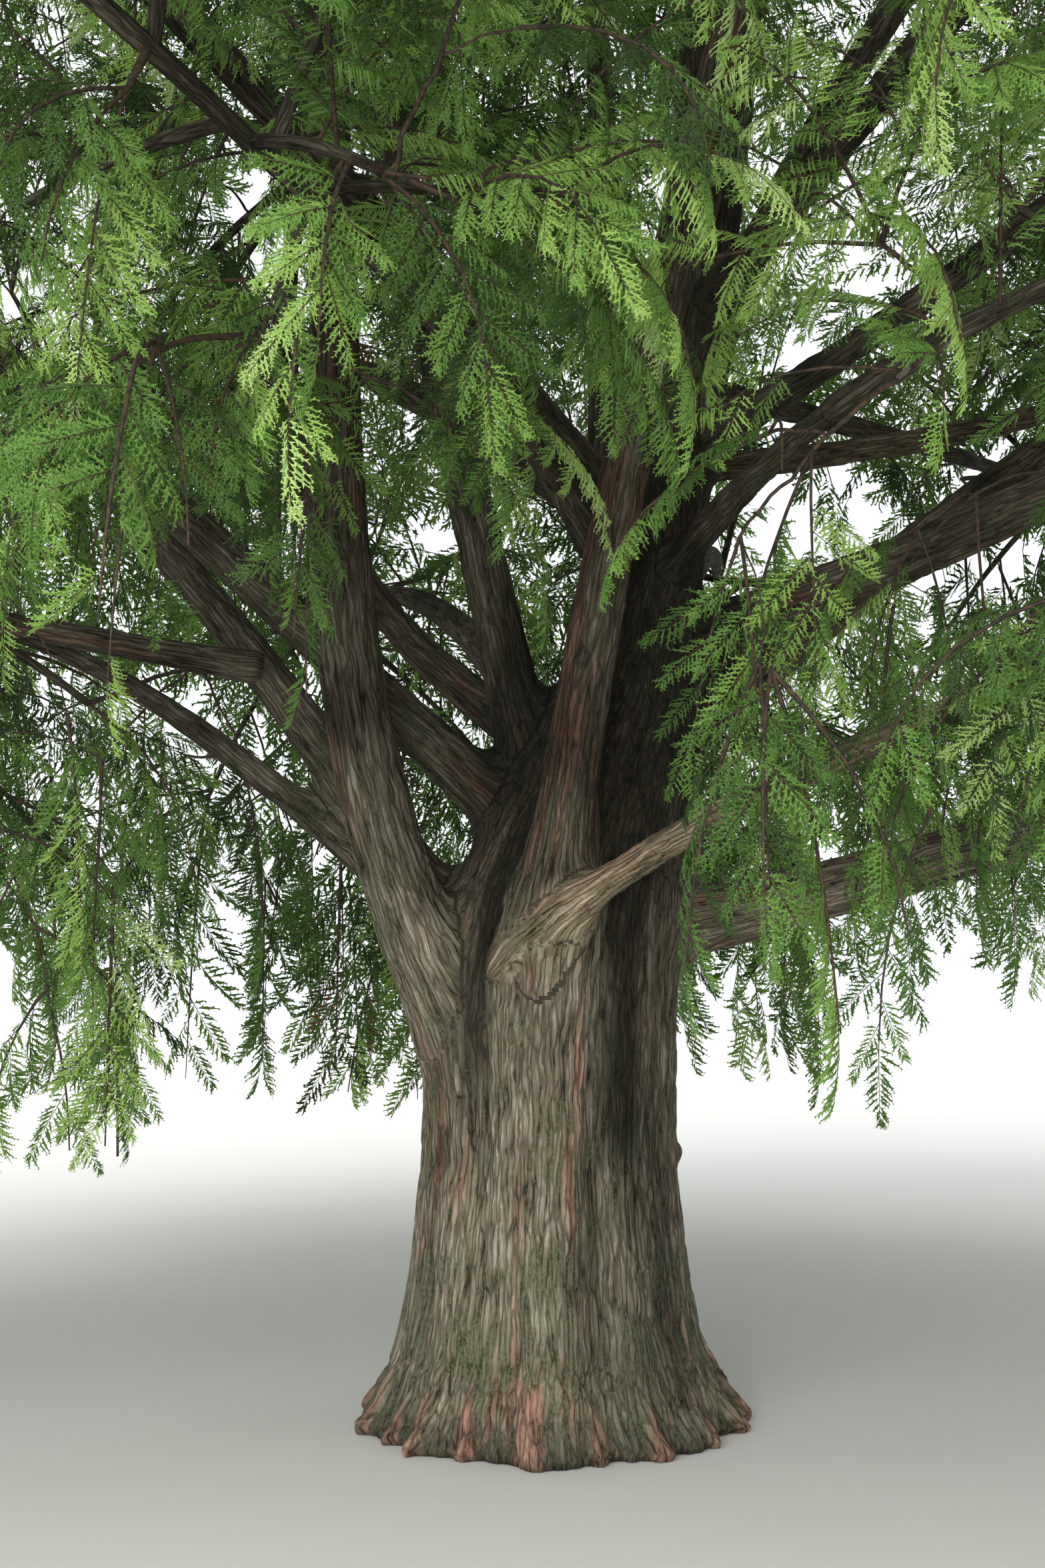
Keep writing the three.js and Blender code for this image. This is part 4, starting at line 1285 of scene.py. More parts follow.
@dataclass
class TrunkAndForks:
    """The trunk and the roots of its boughs: closed pieces of bark that flow from limb into limb.

    Each block has its name, its lowest and its highest height and its grid's pitch.
    """

    plan: TreePlan
    wood: "Wood"
    blocks: tuple[tuple[str, float, float, float], ...] = (
        ("trunk_bark", 0.0, 1.48, 0.021),
        ("fork_bark", 1.42, 2.94, 0.031),
        ("upper_fork_bark", 2.88, 5.75, 0.041),
    )
    core_reach: float = 1.35
    leader_height: float = 5.0
    hollow: float = 0.16
    stub_hollow: float = 0.05
    margin: float = 0.3
    tuck: float = 0.012
    tuck_height: float = 0.06

    def core(self, name: str) -> Limb:
        """Returns the stretch of a bough that the forks take in."""
        limb = self.plan.boughs[name]
        return limb.part(0, int(np.searchsorted(limb.lengths(), self.core_reach)) + 1).sunk()

    def grid(self, low: float, high: float, pitch: float) -> DistanceGrid:
        """Fills a grid with the trunk and the roots of the boughs between two heights.

        Args:
            low: the lower height.
            high: the upper height.
            pitch: the grid's pitch.

        Returns:
            The grid.
        """
        cores = [self.core(name) for name in BOUGHS if BOUGHS[name].carrier == ""]
        points = np.vstack([core.points for core in cores])
        near = points[(points[:, 2] > low - self.margin) & (points[:, 2] < high + self.margin)]
        wide = TRUNK_STATIONS[0, 3] + self.margin
        lowest = np.minimum(near.min(0) - self.margin, -wide)
        highest = np.maximum(near.max(0) + self.margin, wide)
        lowest[2], highest[2] = low - 3 * pitch, high + 3 * pitch
        grid = DistanceGrid(lowest, highest, pitch)
        spans, points = grid.window(lowest - pitch, highest + pitch)
        azimuth, out, heights = round_trunk(points)
        grid.join(np.maximum(out - trunk_radius(azimuth, heights), heights - self.leader_height), spans, 1e-6)
        for core in cores:
            if core.points[:, 2].min() < high + self.margin and core.points[:, 2].max() > low - self.margin:
                grid.add_limb(core, self.hollow)
        middle, radius = STUB
        grid.join(np.linalg.norm(points - middle, axis=-1) - radius, spans, self.stub_hollow)
        ends = np.maximum(low - grid.axes[2], grid.axes[2] - high)
        grid.values = np.maximum(grid.values, ends.astype(np.float32))
        return grid

    def coat(self, mesh: Mesh, low: float, pitch: float) -> None:
        """Raises the bark's relief on a smooth piece, and draws its lower end inside the piece below.

        Args:
            mesh: the piece's mesh.
            low: the height of the piece's lower end.
            pitch: the pitch of the grid that it comes from.
        """
        points, normals = read_vectors(mesh, "co"), read_vectors(mesh, "normal")
        reading = self.wood.read(points)
        inset = self.tuck * (1 - smooth_step(low, low + self.tuck_height, points[:, 2])) if low else 0
        moved = points + normals * (reading.rise - inset)[:, None]
        if not low:
            moved[points[:, 2] < pitch / 2, 2] = 0
            moved[:, 2] = np.maximum(moved[:, 2], 0)
        mesh.vertices.foreach_set("co", moved.astype(np.float32).ravel())
        reading.note_on(mesh)
        mesh.update()

    def make(self, finish: Material) -> list[Object]:
        """Builds the pieces.

        Args:
            finish: the bark.

        Returns:
            The pieces, from the ground up.
        """
        pieces = []
        for name, low, high, pitch in self.blocks:
            points, quads = self.grid(low, high, pitch).surface()
            rough = placed(quad_mesh(name + "_form", points, quads))
            smoother = rough.modifiers.new("smoother", "SUBSURF")
            smoother.levels = smoother.render_levels = 1
            mesh = bpy.data.meshes.new_from_object(rough.evaluated_get(bpy.context.evaluated_depsgraph_get()))
            bpy.data.objects.remove(rough)
            mesh.name = name
            mesh.shade_smooth()
            self.coat(mesh, low, pitch)
            mesh.materials.append(finish)
            log.info("%s: %d faces", name, len(mesh.polygons))
            pieces.append(placed(mesh))
        return pieces


@dataclass
class BarkReading:
    """What the bark is like at each of many places."""

    grain: np.ndarray
    height: np.ndarray
    rise: np.ndarray
    red: np.ndarray
    moss: np.ndarray
    shade: np.ndarray
    pale: np.ndarray
    sure: np.ndarray

    @classmethod
    def joined(cls, readings: list["BarkReading"]) -> "BarkReading":
        """Returns several readings as one."""
        names = [part.name for part in fields(cls)]
        return cls(*(np.concatenate([getattr(reading, name) for reading in readings]) for name in names))

    def note_on(self, mesh: Mesh) -> None:
        """Gives a mesh the attributes that the bark's finish reads."""
        put_attribute(mesh, "grain", "FLOAT_VECTOR", self.grain)
        put_attribute(mesh, "tone", "FLOAT_COLOR",
                      np.stack((self.height, self.red, self.moss, self.sure), axis=1))
        put_attribute(mesh, "pale", "FLOAT", self.pale)
        put_attribute(mesh, "shade", "FLOAT", self.shade)


@dataclass
class Wood:
    """Reads the bark of whichever limb a place is on, and of both where two meet."""

    plan: TreePlan
    relief: BarkRelief
    tone: BarkTone
    shared: float = 0.05
    nearby: float = 0.12
    trunk_redness: float = 0.32
    offset: float = 3.7

    def read(self, points: np.ndarray) -> BarkReading:
        """Reads the bark at points near the surface.

        Args:
            points: a row for each place.

        Returns:
            The reading.
        """
        count = len(points)
        total, rise, height, strongest = (np.zeros(count) for _ in range(4))
        redness, pale = np.zeros(count), np.zeros(count)
        grain, leads = (np.zeros((count, 3)) for _ in range(2))
        limbs = {"trunk": self.plan.trunk, **self.plan.boughs}
        azimuth, out, heights = round_trunk(points)
        for number, (name, limb) in enumerate(limbs.items()):
            low, high = limb.points.min(0) - 1, limb.points.max(0) + 1
            near = np.flatnonzero(((points > low) & (points < high)).all(1))
            if name == "trunk":
                away, station = (out - trunk_radius(azimuth, heights))[near], heights[near] / TRUNK_STEP
            else:
                away, station = self.nearest(points[near], limb.sunk())
            chosen = near[away < self.nearby]
            away, station = away[away < self.nearby], station[away < self.nearby]
            if not len(chosen):
                continue
            own, radius, way = self.grain_of(points[chosen], limb, station, number)
            bark = self.relief.height(own)
            weight = np.exp(-((np.clip(away, 0, None) / self.shared) ** 2)) + 1e-6
            total[chosen] += weight
            height[chosen] += weight * bark
            rise[chosen] += weight * self.relief.rise(bark, radius)
            plan = BOUGHS.get(name)
            redness[chosen] += weight * (plan.redness if plan else self.trunk_redness)
            pale[chosen] += weight * (plan.paleness if plan else 0.0)
            leads[chosen] += weight[:, None] * way
            best = weight > strongest[chosen]
            grain[chosen[best]] = own[best]
            strongest[chosen] = np.maximum(strongest[chosen], weight)
        total = np.maximum(total, 1e-6)
        red, moss = self.tone.at(points, grain, redness / total)
        shade = self.tone.shade(points)
        alike = smooth_step(0.965, 0.99, np.linalg.norm(leads, axis=1) / total)
        sure = np.maximum(alike, smooth_step(0.5, 0.62, strongest / total))
        pale = pale / total
        # The moss mask rises with the painted shade, so its dark green is partly moss and partly painted
        # shade.
        moss = np.clip(moss + 0.5 * shade, 0, 1) * (1 - 0.7 * pale)
        return BarkReading(grain, height / total, rise / total, red, moss, shade, pale, sure)

    @staticmethod
    def nearest(points: np.ndarray, limb: Limb) -> tuple[np.ndarray, np.ndarray]:
        """Returns how far points are from a limb's surface, and the station that each is beside."""
        best, station = np.full(len(points), np.inf), np.zeros(len(points))
        for first, last in limb.steps():
            away, share = distance_to_step(points, limb, first, last)
            closer = away < best
            best[closer] = away[closer]
            station[closer] = (first + share * (last - first))[closer]
        return best, station

    def grain_of(self, points: np.ndarray, limb: Limb, station: np.ndarray,
                 number: int) -> tuple[np.ndarray, np.ndarray, np.ndarray]:
        """Where points are along the grain of a limb.

        Args:
            points: the points.
            limb: the limb.
            station: the station beside each point, with a fraction.
            number: the limb's number, which sets its bark apart.

        Returns:
            Grain places, the limb's radius, and the direction of the grain.
        """
        numbers = np.arange(len(limb.points))
        axis = np.stack([np.interp(station, numbers, limb.points[:, k]) for k in range(3)], axis=1)
        azimuth, rise = np.interp(station, numbers, limb.azimuth), np.interp(station, numbers, limb.rise)
        radius = np.interp(station, numbers, limb.radius)
        across, upward = heading(azimuth + 90, 0), heading(azimuth, rise + 90)
        offset = points - axis
        flat = np.stack(((offset * across).sum(1), (offset * upward).sum(1)), axis=1)
        along = np.interp(station, numbers, limb.lengths()) + self.offset * number
        return np.column_stack((unit(flat) * radius[:, None], along)), radius, heading(azimuth, rise)


@dataclass(frozen=True)
class Stretch:
    """A stretch of limb to be made as a tube: its CAD node, its stations and what its bark is like."""

    node: str
    limb: Limb
    start: float
    number: int
    redness: float = 0.25
    paleness: float = 0.0
    ring_step: float = 0.038
    side_step: float = 0.021


@dataclass
class OuterLimbs:
    """The leader and the boughs beyond the forks, and the masses' stems: tubes with the forks' own bark."""

    wood: Wood
    forks: TrunkAndForks
    tuck: float = 0.14
    tuck_depth: float = 0.8
    least_sides: int = 8
    path_step: float = 0.05
    leader_ring_step: float = 0.06
    most: int = 150_000

    def stretches(self) -> list[Stretch]:
        """Returns what the forks leave out of every limb."""
        plan = self.forks.plan
        first = self.forks.leader_height - self.tuck
        leader = plan.trunk.part(int(first / TRUNK_STEP), len(plan.trunk.points))
        found = [Stretch("trunk", leader, first, 0, ring_step=self.leader_ring_step)]
        for number, (name, limb) in enumerate(plan.boughs.items()):
            start = 0.0 if BOUGHS[name].carrier else self.forks.core_reach - self.tuck
            length = limb.lengths()[-1]
            part = limb.at(np.linspace(start, length, int((length - start) / self.path_step)))
            found.append(Stretch(name, part, start, number + 1, BOUGHS[name].redness, BOUGHS[name].paleness))
        return found

    def tube(self, stretch: Stretch) -> tuple[np.ndarray, np.ndarray, BarkReading]:
        """Builds a tube that is tucked in at its root.

        Args:
            stretch: the stretch.

        Returns:
            Its corners, its four-sided faces and its bark.
        """
        length = stretch.limb.lengths()[-1]
        along = np.linspace(0, length, int(length / stretch.ring_step) + 1)
        limb = stretch.limb.at(along)
        sides = max(self.least_sides, int(2 * math.pi * limb.radius[0] / stretch.side_step))
        angle = np.linspace(0, 2 * math.pi, sides, endpoint=False)
        across, upward = limb.frames()
        ring = across[:, None] * np.cos(angle)[:, None] + upward[:, None] * np.sin(angle)[:, None]
        wide = np.repeat(limb.radius, sides)
        flat = np.stack((np.cos(angle), np.sin(angle)), axis=1)
        places = along + stretch.start + self.wood.offset * stretch.number
        grain = np.column_stack((np.tile(flat, (len(along), 1)) * wide[:, None], np.repeat(places, sides)))
        height = self.wood.relief.height(grain)
        rise = self.wood.relief.rise(height, wide)
        rise[:sides] -= wide[:sides] * (1 - self.tuck_depth)
        points = np.repeat(limb.points, sides, axis=0) + ring.reshape(-1, 3) * (wide + rise)[:, None]
        red, moss = self.wood.tone.at(points, grain, np.full(len(points), stretch.redness))
        pale = np.full(len(points), stretch.paleness)
        shade = self.wood.tone.shade(points)
        numbers = np.arange(len(points)).reshape(-1, sides)
        after = np.roll(numbers, -1, axis=1)
        quads = np.stack((numbers[:-1], after[:-1], after[1:], numbers[1:]), axis=-1).reshape(-1, 4)
        return points, quads, BarkReading(grain, height, rise, red, moss, shade, pale, np.ones(len(points)))

    def make(self, stretches: list[Stretch], label: str, finish: Material) -> list[Object]:
        """Builds tubes in as few pieces as their triangles allow.

        Args:
            stretches: what the tubes follow.
            label: start of the pieces' names.
            finish: the bark.

        Returns:
            The pieces, each with a note of the CAD nodes that it stands for.
        """
        tubes = [self.tube(stretch) for stretch in stretches]
        part = np.cumsum([2 * len(quads) for _, quads, _ in tubes]) // self.most
        pieces = []
        for number in sorted(set(part)):
            some = np.flatnonzero(part == number)
            starts = np.cumsum([0] + [len(tubes[k][0]) for k in some])
            quads = np.vstack([tubes[k][1] + start for k, start in zip(some, starts)])
            mesh = quad_mesh(f"{label}_{number + 1}", np.vstack([tubes[k][0] for k in some]), quads)
            mesh.shade_smooth()
            BarkReading.joined([tubes[k][2] for k in some]).note_on(mesh)
            self.close_ends(mesh)
            mesh.materials.append(finish)
            pieces.append(placed(mesh))
            pieces[-1]["stands_for"] = sorted({stretches[k].node for k in some})
            log.info("%s: %d faces", mesh.name, len(mesh.polygons))
        return pieces

    @staticmethod
    def close_ends(mesh: Mesh) -> None:
        """Closes every open ring of a mesh with one flat face."""
        work = bmesh.new()
        work.from_mesh(mesh)
        bmesh.ops.holes_fill(work, edges=[edge for edge in work.edges if edge.is_boundary], sides=0)
        work.to_mesh(mesh)
        work.free()
        mesh.update()


@dataclass(frozen=True)
class Branchlet:
    """One branchlet along +X, flat in XY, whose length, needles and sag are each one unit long."""

    pairs: int
    blade: float
    seed: int
    widest: float = 0.4
    lean: float = 0.12
    spread: float = 0.76
    taper: float = 0.45
    base: float = 0.62
    width_varies: tuple[float, float] = (0.85, 1.15)
    needle_varies: tuple[float, float] = (0.75, 1.2)

    def make(self, name: str) -> Object:
        """Builds it: the close bases of its needles as a slender blade, and their tips on both sides.

        Args:
            name: the object's name.

        Returns:
            The object, which isn't in the scene.
        """
        random = np.random.default_rng(self.seed)
        width = self.blade * random.uniform(*self.width_varies)
        middle = self.midrib(self.widest)
        points = [self.midrib(0), middle + (0, width, 0), self.midrib(1), middle - (0, width, 0)]
        faces = [(0, 2, 1), (0, 3, 2)]
        count = 2 * self.pairs
        for k in range(count):
            share = (k + 0.6) / (count + 0.6)
            low, high = self.midrib(share), self.midrib(share + self.base / count)
            reach = random.uniform(*self.needle_varies) * (1 - self.taper * share ** 2)
            side = (1, -1)[k % 2]
            tip = (low + high) / 2 + (self.lean * reach, self.spread * side * reach, 0)
            points.extend((low, high, tip))
            rim = (len(points) - 3, len(points) - 2, len(points) - 1)
            faces.append(rim if side > 0 else rim[::-1])
        return bpy.data.objects.new(name, new_mesh(name, np.array(points), faces))

    @staticmethod
    def midrib(share: float) -> np.ndarray:
        """Returns a point on the branchlet's sagging midrib."""
        return np.array((share, 0, -share ** 2))


@dataclass(frozen=True)
class FeatherPlan:
    """A shoot's two rows of drooping branchlets, one unit long along +X."""

    branchlets: int
    needle: float
    seed: int
    reach: float = 0.36
    sag: float = 0.3
    sweep: float = 0.16
    open_angle: float = 60
    tip_angle: float = 30
    angle_varies: float = 14
    first: float = 0.06
    shift: float = 0.35
    short_base: float = 0.6
    taper: float = 0.45
    length_varies: tuple[float, float] = (0.6, 1.2)
    droop: float = 0.3
    droop_varies: tuple[float, float] = (0.05, 0.5)
    roll: float = 30
    full_from: float = 0.3
    stalk: float = 0.007
    stalk_taper: float = 0.6
    stalk_end: float = 0.92

    def places(self) -> np.ndarray:
        """Returns a row for each branchlet: its root, direction, normal, length, needles' length and sag."""
        random = np.random.default_rng(self.seed)
        rows = []
        for k in range(self.branchlets + 1):
            shifted = (k + random.uniform(-self.shift, self.shift)) / self.branchlets
            share = self.first + (1 - self.first) * min(1, shifted)
            side = 1 if k % 2 else -1
            last = k == self.branchlets
            angle = 0 if last else self.open_angle + (self.tip_angle - self.open_angle) * share
            angle = math.radians(angle + random.uniform(-self.angle_varies, self.angle_varies))
            growing = self.short_base + (1 - self.short_base) * min(1, share / self.full_from)
            length = self.reach * growing * (1 - self.taper * share ** 1.5)
            length *= random.uniform(*self.length_varies)
            droop = self.droop * share + random.uniform(*self.droop_varies)
            along = unit(np.array((math.cos(angle), side * math.sin(angle), -droop)))
            flat = unit(np.cross((0, 0, 1), along))
            roll = math.radians(random.uniform(-self.roll, self.roll))
            normal = np.cross(along, flat) * math.cos(roll) - flat * math.sin(roll)
            root = self.midrib(share * (0.9 if last else 1))
            rows.append((*root, *along, *normal, length, self.needle, self.sag * length))
        return np.array(rows)

    def midrib(self, share: float) -> np.ndarray:
        """Returns a point on the shoot's own drooping line."""
        return np.array((share, 0, -self.sweep * share ** 2))

    def make_stalk(self, name: str) -> Object:
        """Returns the three-sided stalk that carries the branchlets, which isn't in the scene."""
        rim = [np.array((0, math.sin(turn), math.cos(turn))) for turn in (0, 2.0944, 4.1888)]
        points = [self.midrib(share) + self.stalk * (1 - self.stalk_taper * share) * way
                  for share in (0, 0.45, self.stalk_end) for way in rim]
        faces = [(k + 3 * ring, k + 3 * ring + 3, (k + 1) % 3 + 3 * ring + 3, (k + 1) % 3 + 3 * ring)
                 for ring in (0, 1) for k in range(3)]
        return bpy.data.objects.new(name, new_mesh(name, np.array(points), [*faces, (0, 1, 2), (8, 7, 6)]))


@dataclass
class Camera:
    """The photograph's view: its place, its upward tilt and its lens."""

    place: tuple[float, float, float] = (-0.11, -6.6, 1.6)
    tilt: float = 8.4
    lens: float = 36
    film: float = 36
    furthest: float = 500
    frame_width: int = 1568
    frame_height: int = 2352

    def make(self) -> None:
        """Adds the camera to the scene."""
        data = bpy.data.cameras.new("photo_camera")
        data.lens, data.sensor_width, data.clip_end = self.lens, self.film, self.furthest
        camera = bpy.data.objects.new("photo_camera", data)
        camera.location = self.place
        camera.rotation_euler = (math.radians(90 + self.tilt), 0, 0)
        bpy.context.scene.collection.objects.link(camera)
        bpy.context.scene.camera = camera

    def in_frame(self, points: np.ndarray) -> tuple[np.ndarray, np.ndarray]:
        """Where points are in the picture.

        Args:
            points: a row for each point.

        Returns:
            Places across and down the picture, as shares of its width, and the distances along the view.
        """
        tilt = math.radians(self.tilt)
        offset = points - self.place
        ahead = offset[:, 1] * math.cos(tilt) + offset[:, 2] * math.sin(tilt)
        up = offset[:, 2] * math.cos(tilt) - offset[:, 1] * math.sin(tilt)
        slopes = np.stack((offset[:, 0], -up), axis=1) / np.maximum(ahead, 0.01)[:, None]
        tall = self.frame_height / self.frame_width
        return slopes * self.lens / self.film * tall + (0.5, tall / 2), ahead

    def seen(self, points: np.ndarray, margin: float) -> tuple[np.ndarray, np.ndarray]:
        """Which points the camera has in view.

        Args:
            points: a row for each point.
            margin: how far outside the view a point may lie.

        Returns:
            True or False for each, and the distances along the view.
        """
        places, ahead = self.in_frame(points)
        half = np.array((0.5, self.frame_height / self.frame_width / 2))
        outside = (np.abs(places - half) - half) / half[1] * self.film / 2 / self.lens * ahead[:, None]
        return (ahead > 0) & (outside < margin).all(1), ahead

    def within(self, points: np.ndarray, patches: tuple[tuple[float, float, float], ...]) -> np.ndarray:
        """Returns how deep points are in the nearest of some round patches of the picture, from 0 to 1."""
        places, ahead = self.in_frame(points)
        spots = np.array(patches)
        shares = np.linalg.norm(places[:, None] - spots[:, :2], axis=2) / spots[:, 2]
        return (1 - smooth_step(0.6, 1.15, shares.min(1))) * (ahead > 0)


@dataclass(frozen=True)
class FrondShape:
    """How a frond droops, branches and carries its feathers, with angles from its root to its tip."""

    turn: float = 14
    rise_changes: tuple[float, float, float] = (14, 2, -40)
    steepest: float = -86
    radius: tuple[float, float] = (0.0035, 0.003)
    radius_gain: float = 0.005
    bark_gap: float = 0.02
    steps: int = 5
    branches: int = 7
    fewest: int = 3
    foot: float = 0.1
    clothed: float = 0.88
    open_angle: float = 58
    closing: float = 28
    angle_varies: float = 9
    side_droop: float = 6
    side_roll: float = 20
    kept_roll: float = 0.6
    side_length: float = 0.46
    side_loss: float = 0.2
    end_length: float = 0.26
    feather: float = 1.1
    feather_loss: float = 0.35
    end_feather: float = 0.85
    feather_varies: tuple[float, float] = (0.85, 1.15)
    hang: float = 0.14
    tilt: float = 30
    feather_reach: float = 0.9
    past_crown: float = 0.15
    past_box: float = 0.05


@dataclass(frozen=True)
class ArmShape:
    """The bare twig that carries a frond to its place from a stem or twig that is there already."""

    homing: float = 0.3
    shortest: float = 0.2
    lift: tuple[float, float] = (6, 20)
    radius: tuple[float, float] = (0.018, 0.009)
    taper: tuple[float, float] = (0.75, 0.6)
    steps: int = 7
    rooted: int = 6
    fork_step: int = 8


@dataclass(frozen=True)
class TipShape:
    """The short fronds that clothe the end of a stem, each turned on from the last round it."""

    fronds: int = 7
    first: float = 0.6
    turn: float = 2.4
    forward: float = 0.5
    forward_gain: float = 0.6
    varies: tuple[float, float] = (0.8, 1.1)
    roll: float = 40
    proud: float = 0.12


@dataclass(frozen=True)
class NeedleLight:
    """Painted light and shade on needles, by their place in the mass, crown and frond, and at random."""

    base: float = 0.31
    outer_gain: float = 0.26
    upper_gain: float = 0.12
    inner_shade: float = 0.12
    inner_depth: tuple[float, float] = (1, 5)
    frond_varies: float = 0.14
    feather_varies: float = 0.1
    tip_gain: float = 0.24
    plume_gain: float = 0.2


@dataclass
class Foliage:
    """Every mass of foliage: stems and twigs by the solids' own rule, carried on to fronds and shoots."""

    plan: TreePlan
    camera: Camera
    near_reach: float = 9
    near_density: float = 3.4
    seen_density: float = 1.5
    far_density: float = 0.31
    top_gain: float = 1.3
    plume_gain: float = 2.2
    full_plume_gain: float = 5.5
    plume_depth: tuple[float, float] = (5.5, 7.5)
    bare_depth: tuple[float, float] = (6.5, 8.5)
    bare_share: float = 0.8
    clump: float = 0.6
    clump_floor: float = 0.15
    clump_gain: float = 1.5
    filled: float = 0.95
    frond_share: float = 3.1
    frond_varies: tuple[float, float] = (0.75, 1.15)
    frond_spread: tuple[float, float] = (25, 45)
    frond_nod: tuple[float, float] = (4, 30)
    frond_roll: float = 55
    branching: float = 4.3
    small_feather: float = 0.27
    large_feather: float = 0.58
    hidden_feather: float = 0.85
    feather_growth: float = 0.05
    spacing: float = 0.27
    twig_lift: float = 9
    twig_rooted: int = 8
    twig_sway: float = 0.03
    spray_share: float = 0.92
    shape: FrondShape = FrondShape()
    tips: TipShape = TipShape()
    arms: ArmShape = ArmShape()
    light: NeedleLight = NeedleLight()
    noise: GradientNoise = field(default_factory=lambda: GradientNoise(SEED + 40))
    stems: list[tuple[str, Limb]] = field(default_factory=list)
    twigs: list = field(default_factory=list)
    feathers: list[np.ndarray] = field(default_factory=list)

    def grow(self) -> None:
        """Grows every mass."""
        for number, space in enumerate(self.plan.spaces):
            self.grow_mass(space, number)
        log.info("foliage: %d twigs, %d feathers", len(self.twigs), sum(len(part) for part in self.feathers))

    def stem(self, space: Space, random: SeededRandom) -> Limb:
        """Returns the stem of a mass, from its bough's tip or the leader to well inside its space."""
        middle = (space.rise + space.level) / 2
        turn = STEM_TURN * random.centred()
        path = Limb.grown(space.start + heading(space.azimuth, space.rise) * space.gap, space.azimuth, turn,
                          (space.rise, middle, middle - STEM_NOD),
                          STEM_SHARE * (space.sizes[0] + space.sizes[2]), (space.radius, TWIG_RADIUS[0]))
        held = np.flatnonzero(self.plan.holds(space, path.points))
        return path.part(0, max(held[-1] if len(held) else 0, STEM_RINGS) + 1)

    def grow_mass(self, space: Space, number: int) -> None:
        """Grows one mass: its stem and twigs, the sprays of the rule, and finer fronds between them.

        Args:
            space: the mass's space.
            number: its number, which sets its seed.
        """
        random = SeededRandom(SEED + number)
        finer = np.random.default_rng(FILL_SEED + number)
        stem = self.stem(space, random)
        self.stems.append((space.name, stem))
        carriers = [stem.part(TWIG_FIRST_STATION, len(stem.points))]
        middles: list[np.ndarray] = []
        sprays: list[tuple] = []
        aims = space.spread(TWIG_COUNT, TWIG_DEPTH, 360 * random.draw())
        for k, aim in enumerate(aims):
            nearest = int(np.linalg.norm(stem.points - aim, axis=1).argmin())
            station = min(max(int(nearest * TWIG_LEAN + 0.5), TWIG_FIRST_STATION), len(stem.points) - 1)
            radius = (min(TWIG_RADIUS[0], stem.radius[station] * TWIG_TAPER), TWIG_RADIUS[1])
            twig = self.arm(stem.points[station], aim, self.twig_lift, radius)
            free = self.plan.clear(twig.points[self.twig_rooted:]).all()
            if not self.plan.holds(space, aim)[0] or not free:
                continue
            self.stems.append((space.name, twig))
            carriers.append(twig)
            outward, climb = angles_of(aim - space.middle)
            for share, turn in SPRAY_PLACES:
                place = twig.points[twig.index(share)]
                way = outward + (turn if k % 2 else -turn)
                sprays.append(self.spray(space, place, way, climb, random, middles))
        end = len(stem.points) - 2
        sprays.append(self.spray(space, stem.points[end], stem.azimuth[end], stem.rise[end], random, middles))
        for spray in filter(None, sprays):
            self.frond(space, *spray, finer)
        self.fill(space, carriers, finer)
        self.clothe_tip(space, stem, np.random.default_rng(TIP_SEED + number))

    def clothe_tip(self, space: Space, stem: Limb, finer: np.random.Generator) -> None:
        """Grows short fronds all round the outer part of a stem out of view, where few others reach it.

        Args:
            space: the mass's space.
            stem: the mass's stem.
            finer: random numbers of this stem's own.
        """
        if self.camera.seen(stem.points[-1:], 0.5)[0][0]:
            return
        tips = self.tips
        for k, share in enumerate(np.linspace(tips.first, 1, tips.fronds)):
            at = stem.index(share)
            ahead = heading(stem.azimuth[at], stem.rise[at])
            level = unit(np.array((-ahead[1], ahead[0], 1e-6)))
            turn = tips.turn * k
            out = level * math.cos(turn) + np.cross(ahead, level) * math.sin(turn)
            azimuth, rise = angles_of(ahead * (tips.forward + tips.forward_gain * share) + out)
            length = self.hidden_feather * (2 - share) * finer.uniform(*tips.varies)
            roll = finer.uniform(-tips.roll, tips.roll)
            self.frond(space, stem.points[at], azimuth, rise, roll, length, finer, tips.proud)

    @staticmethod
    def arm(root: np.ndarray, aim: np.ndarray, lift: float, radius: tuple[float, float]) -> Limb:
        """Returns a limb that arches from one point about to another."""
        azimuth, rise = angles_of(aim - root)
        length = float(np.linalg.norm(aim - root))
        return Limb.grown(root, azimuth, 0, (rise + lift, rise, rise - lift), length, radius)

    def wavering(self, limb: Limb, finer: np.random.Generator) -> Limb:
        """Returns a limb that wavers a little between its ends, as twigs do from shoot to shoot."""
        share = np.linspace(0, 1, len(limb.points))[:, None]
        most = self.twig_sway * limb.lengths()[-1]
        sway = sum(np.sin(math.pi * k * share) * finer.normal(0, most / k, 3) for k in (1, 2, 3, 5))
        return replace(limb, points=limb.points + sway)

    def spray(self, space: Space, root: np.ndarray, azimuth: float, rise: float, random: SeededRandom,
              middles: list[np.ndarray]) -> tuple | None:
        """Finds room for one spray of the rule, at its full length or a shorter one.

        Args:
            space: the mass's space.
            root: where it starts.
            azimuth: its heading.
            rise: its rise before it droops.
            random: the mass's random numbers.
            middles: middles of the sprays so far.

        Returns:
            Its root, azimuth, rise, roll and length, or nothing where it has no room.
        """
        rise = rise - SPRAY_DROOP - SPRAY_DROOP_VARIES * random.centred()
        full = space.spray * (1 + SPRAY_VARIES * random.centred())
        roll = SPRAY_ROLL * random.centred()
        direction = heading(azimuth, rise)
        level = unit(np.array((-direction[1], direction[0], 0)))
        tilt = math.radians(roll)
        flat = level * math.cos(tilt) + np.cross(direction, level) * math.sin(tilt)
        for share in SPRAY_SIZES:
            length = full * share
            own = root + direction * length * SPRAY_MIDDLES[:, None]
            if any(np.linalg.norm(own - other, axis=1).min() < SPRAY_SPACING for other in middles):
                continue
            rim = root + length * (SPRAY_OUTLINE @ np.array((direction, flat)))
            if self.plan.holds(space, rim).all() and self.plan.clear(np.vstack((rim, own))).all():
                middles.extend(own)
                return root, azimuth, rise, roll, length * self.spray_share
        return None

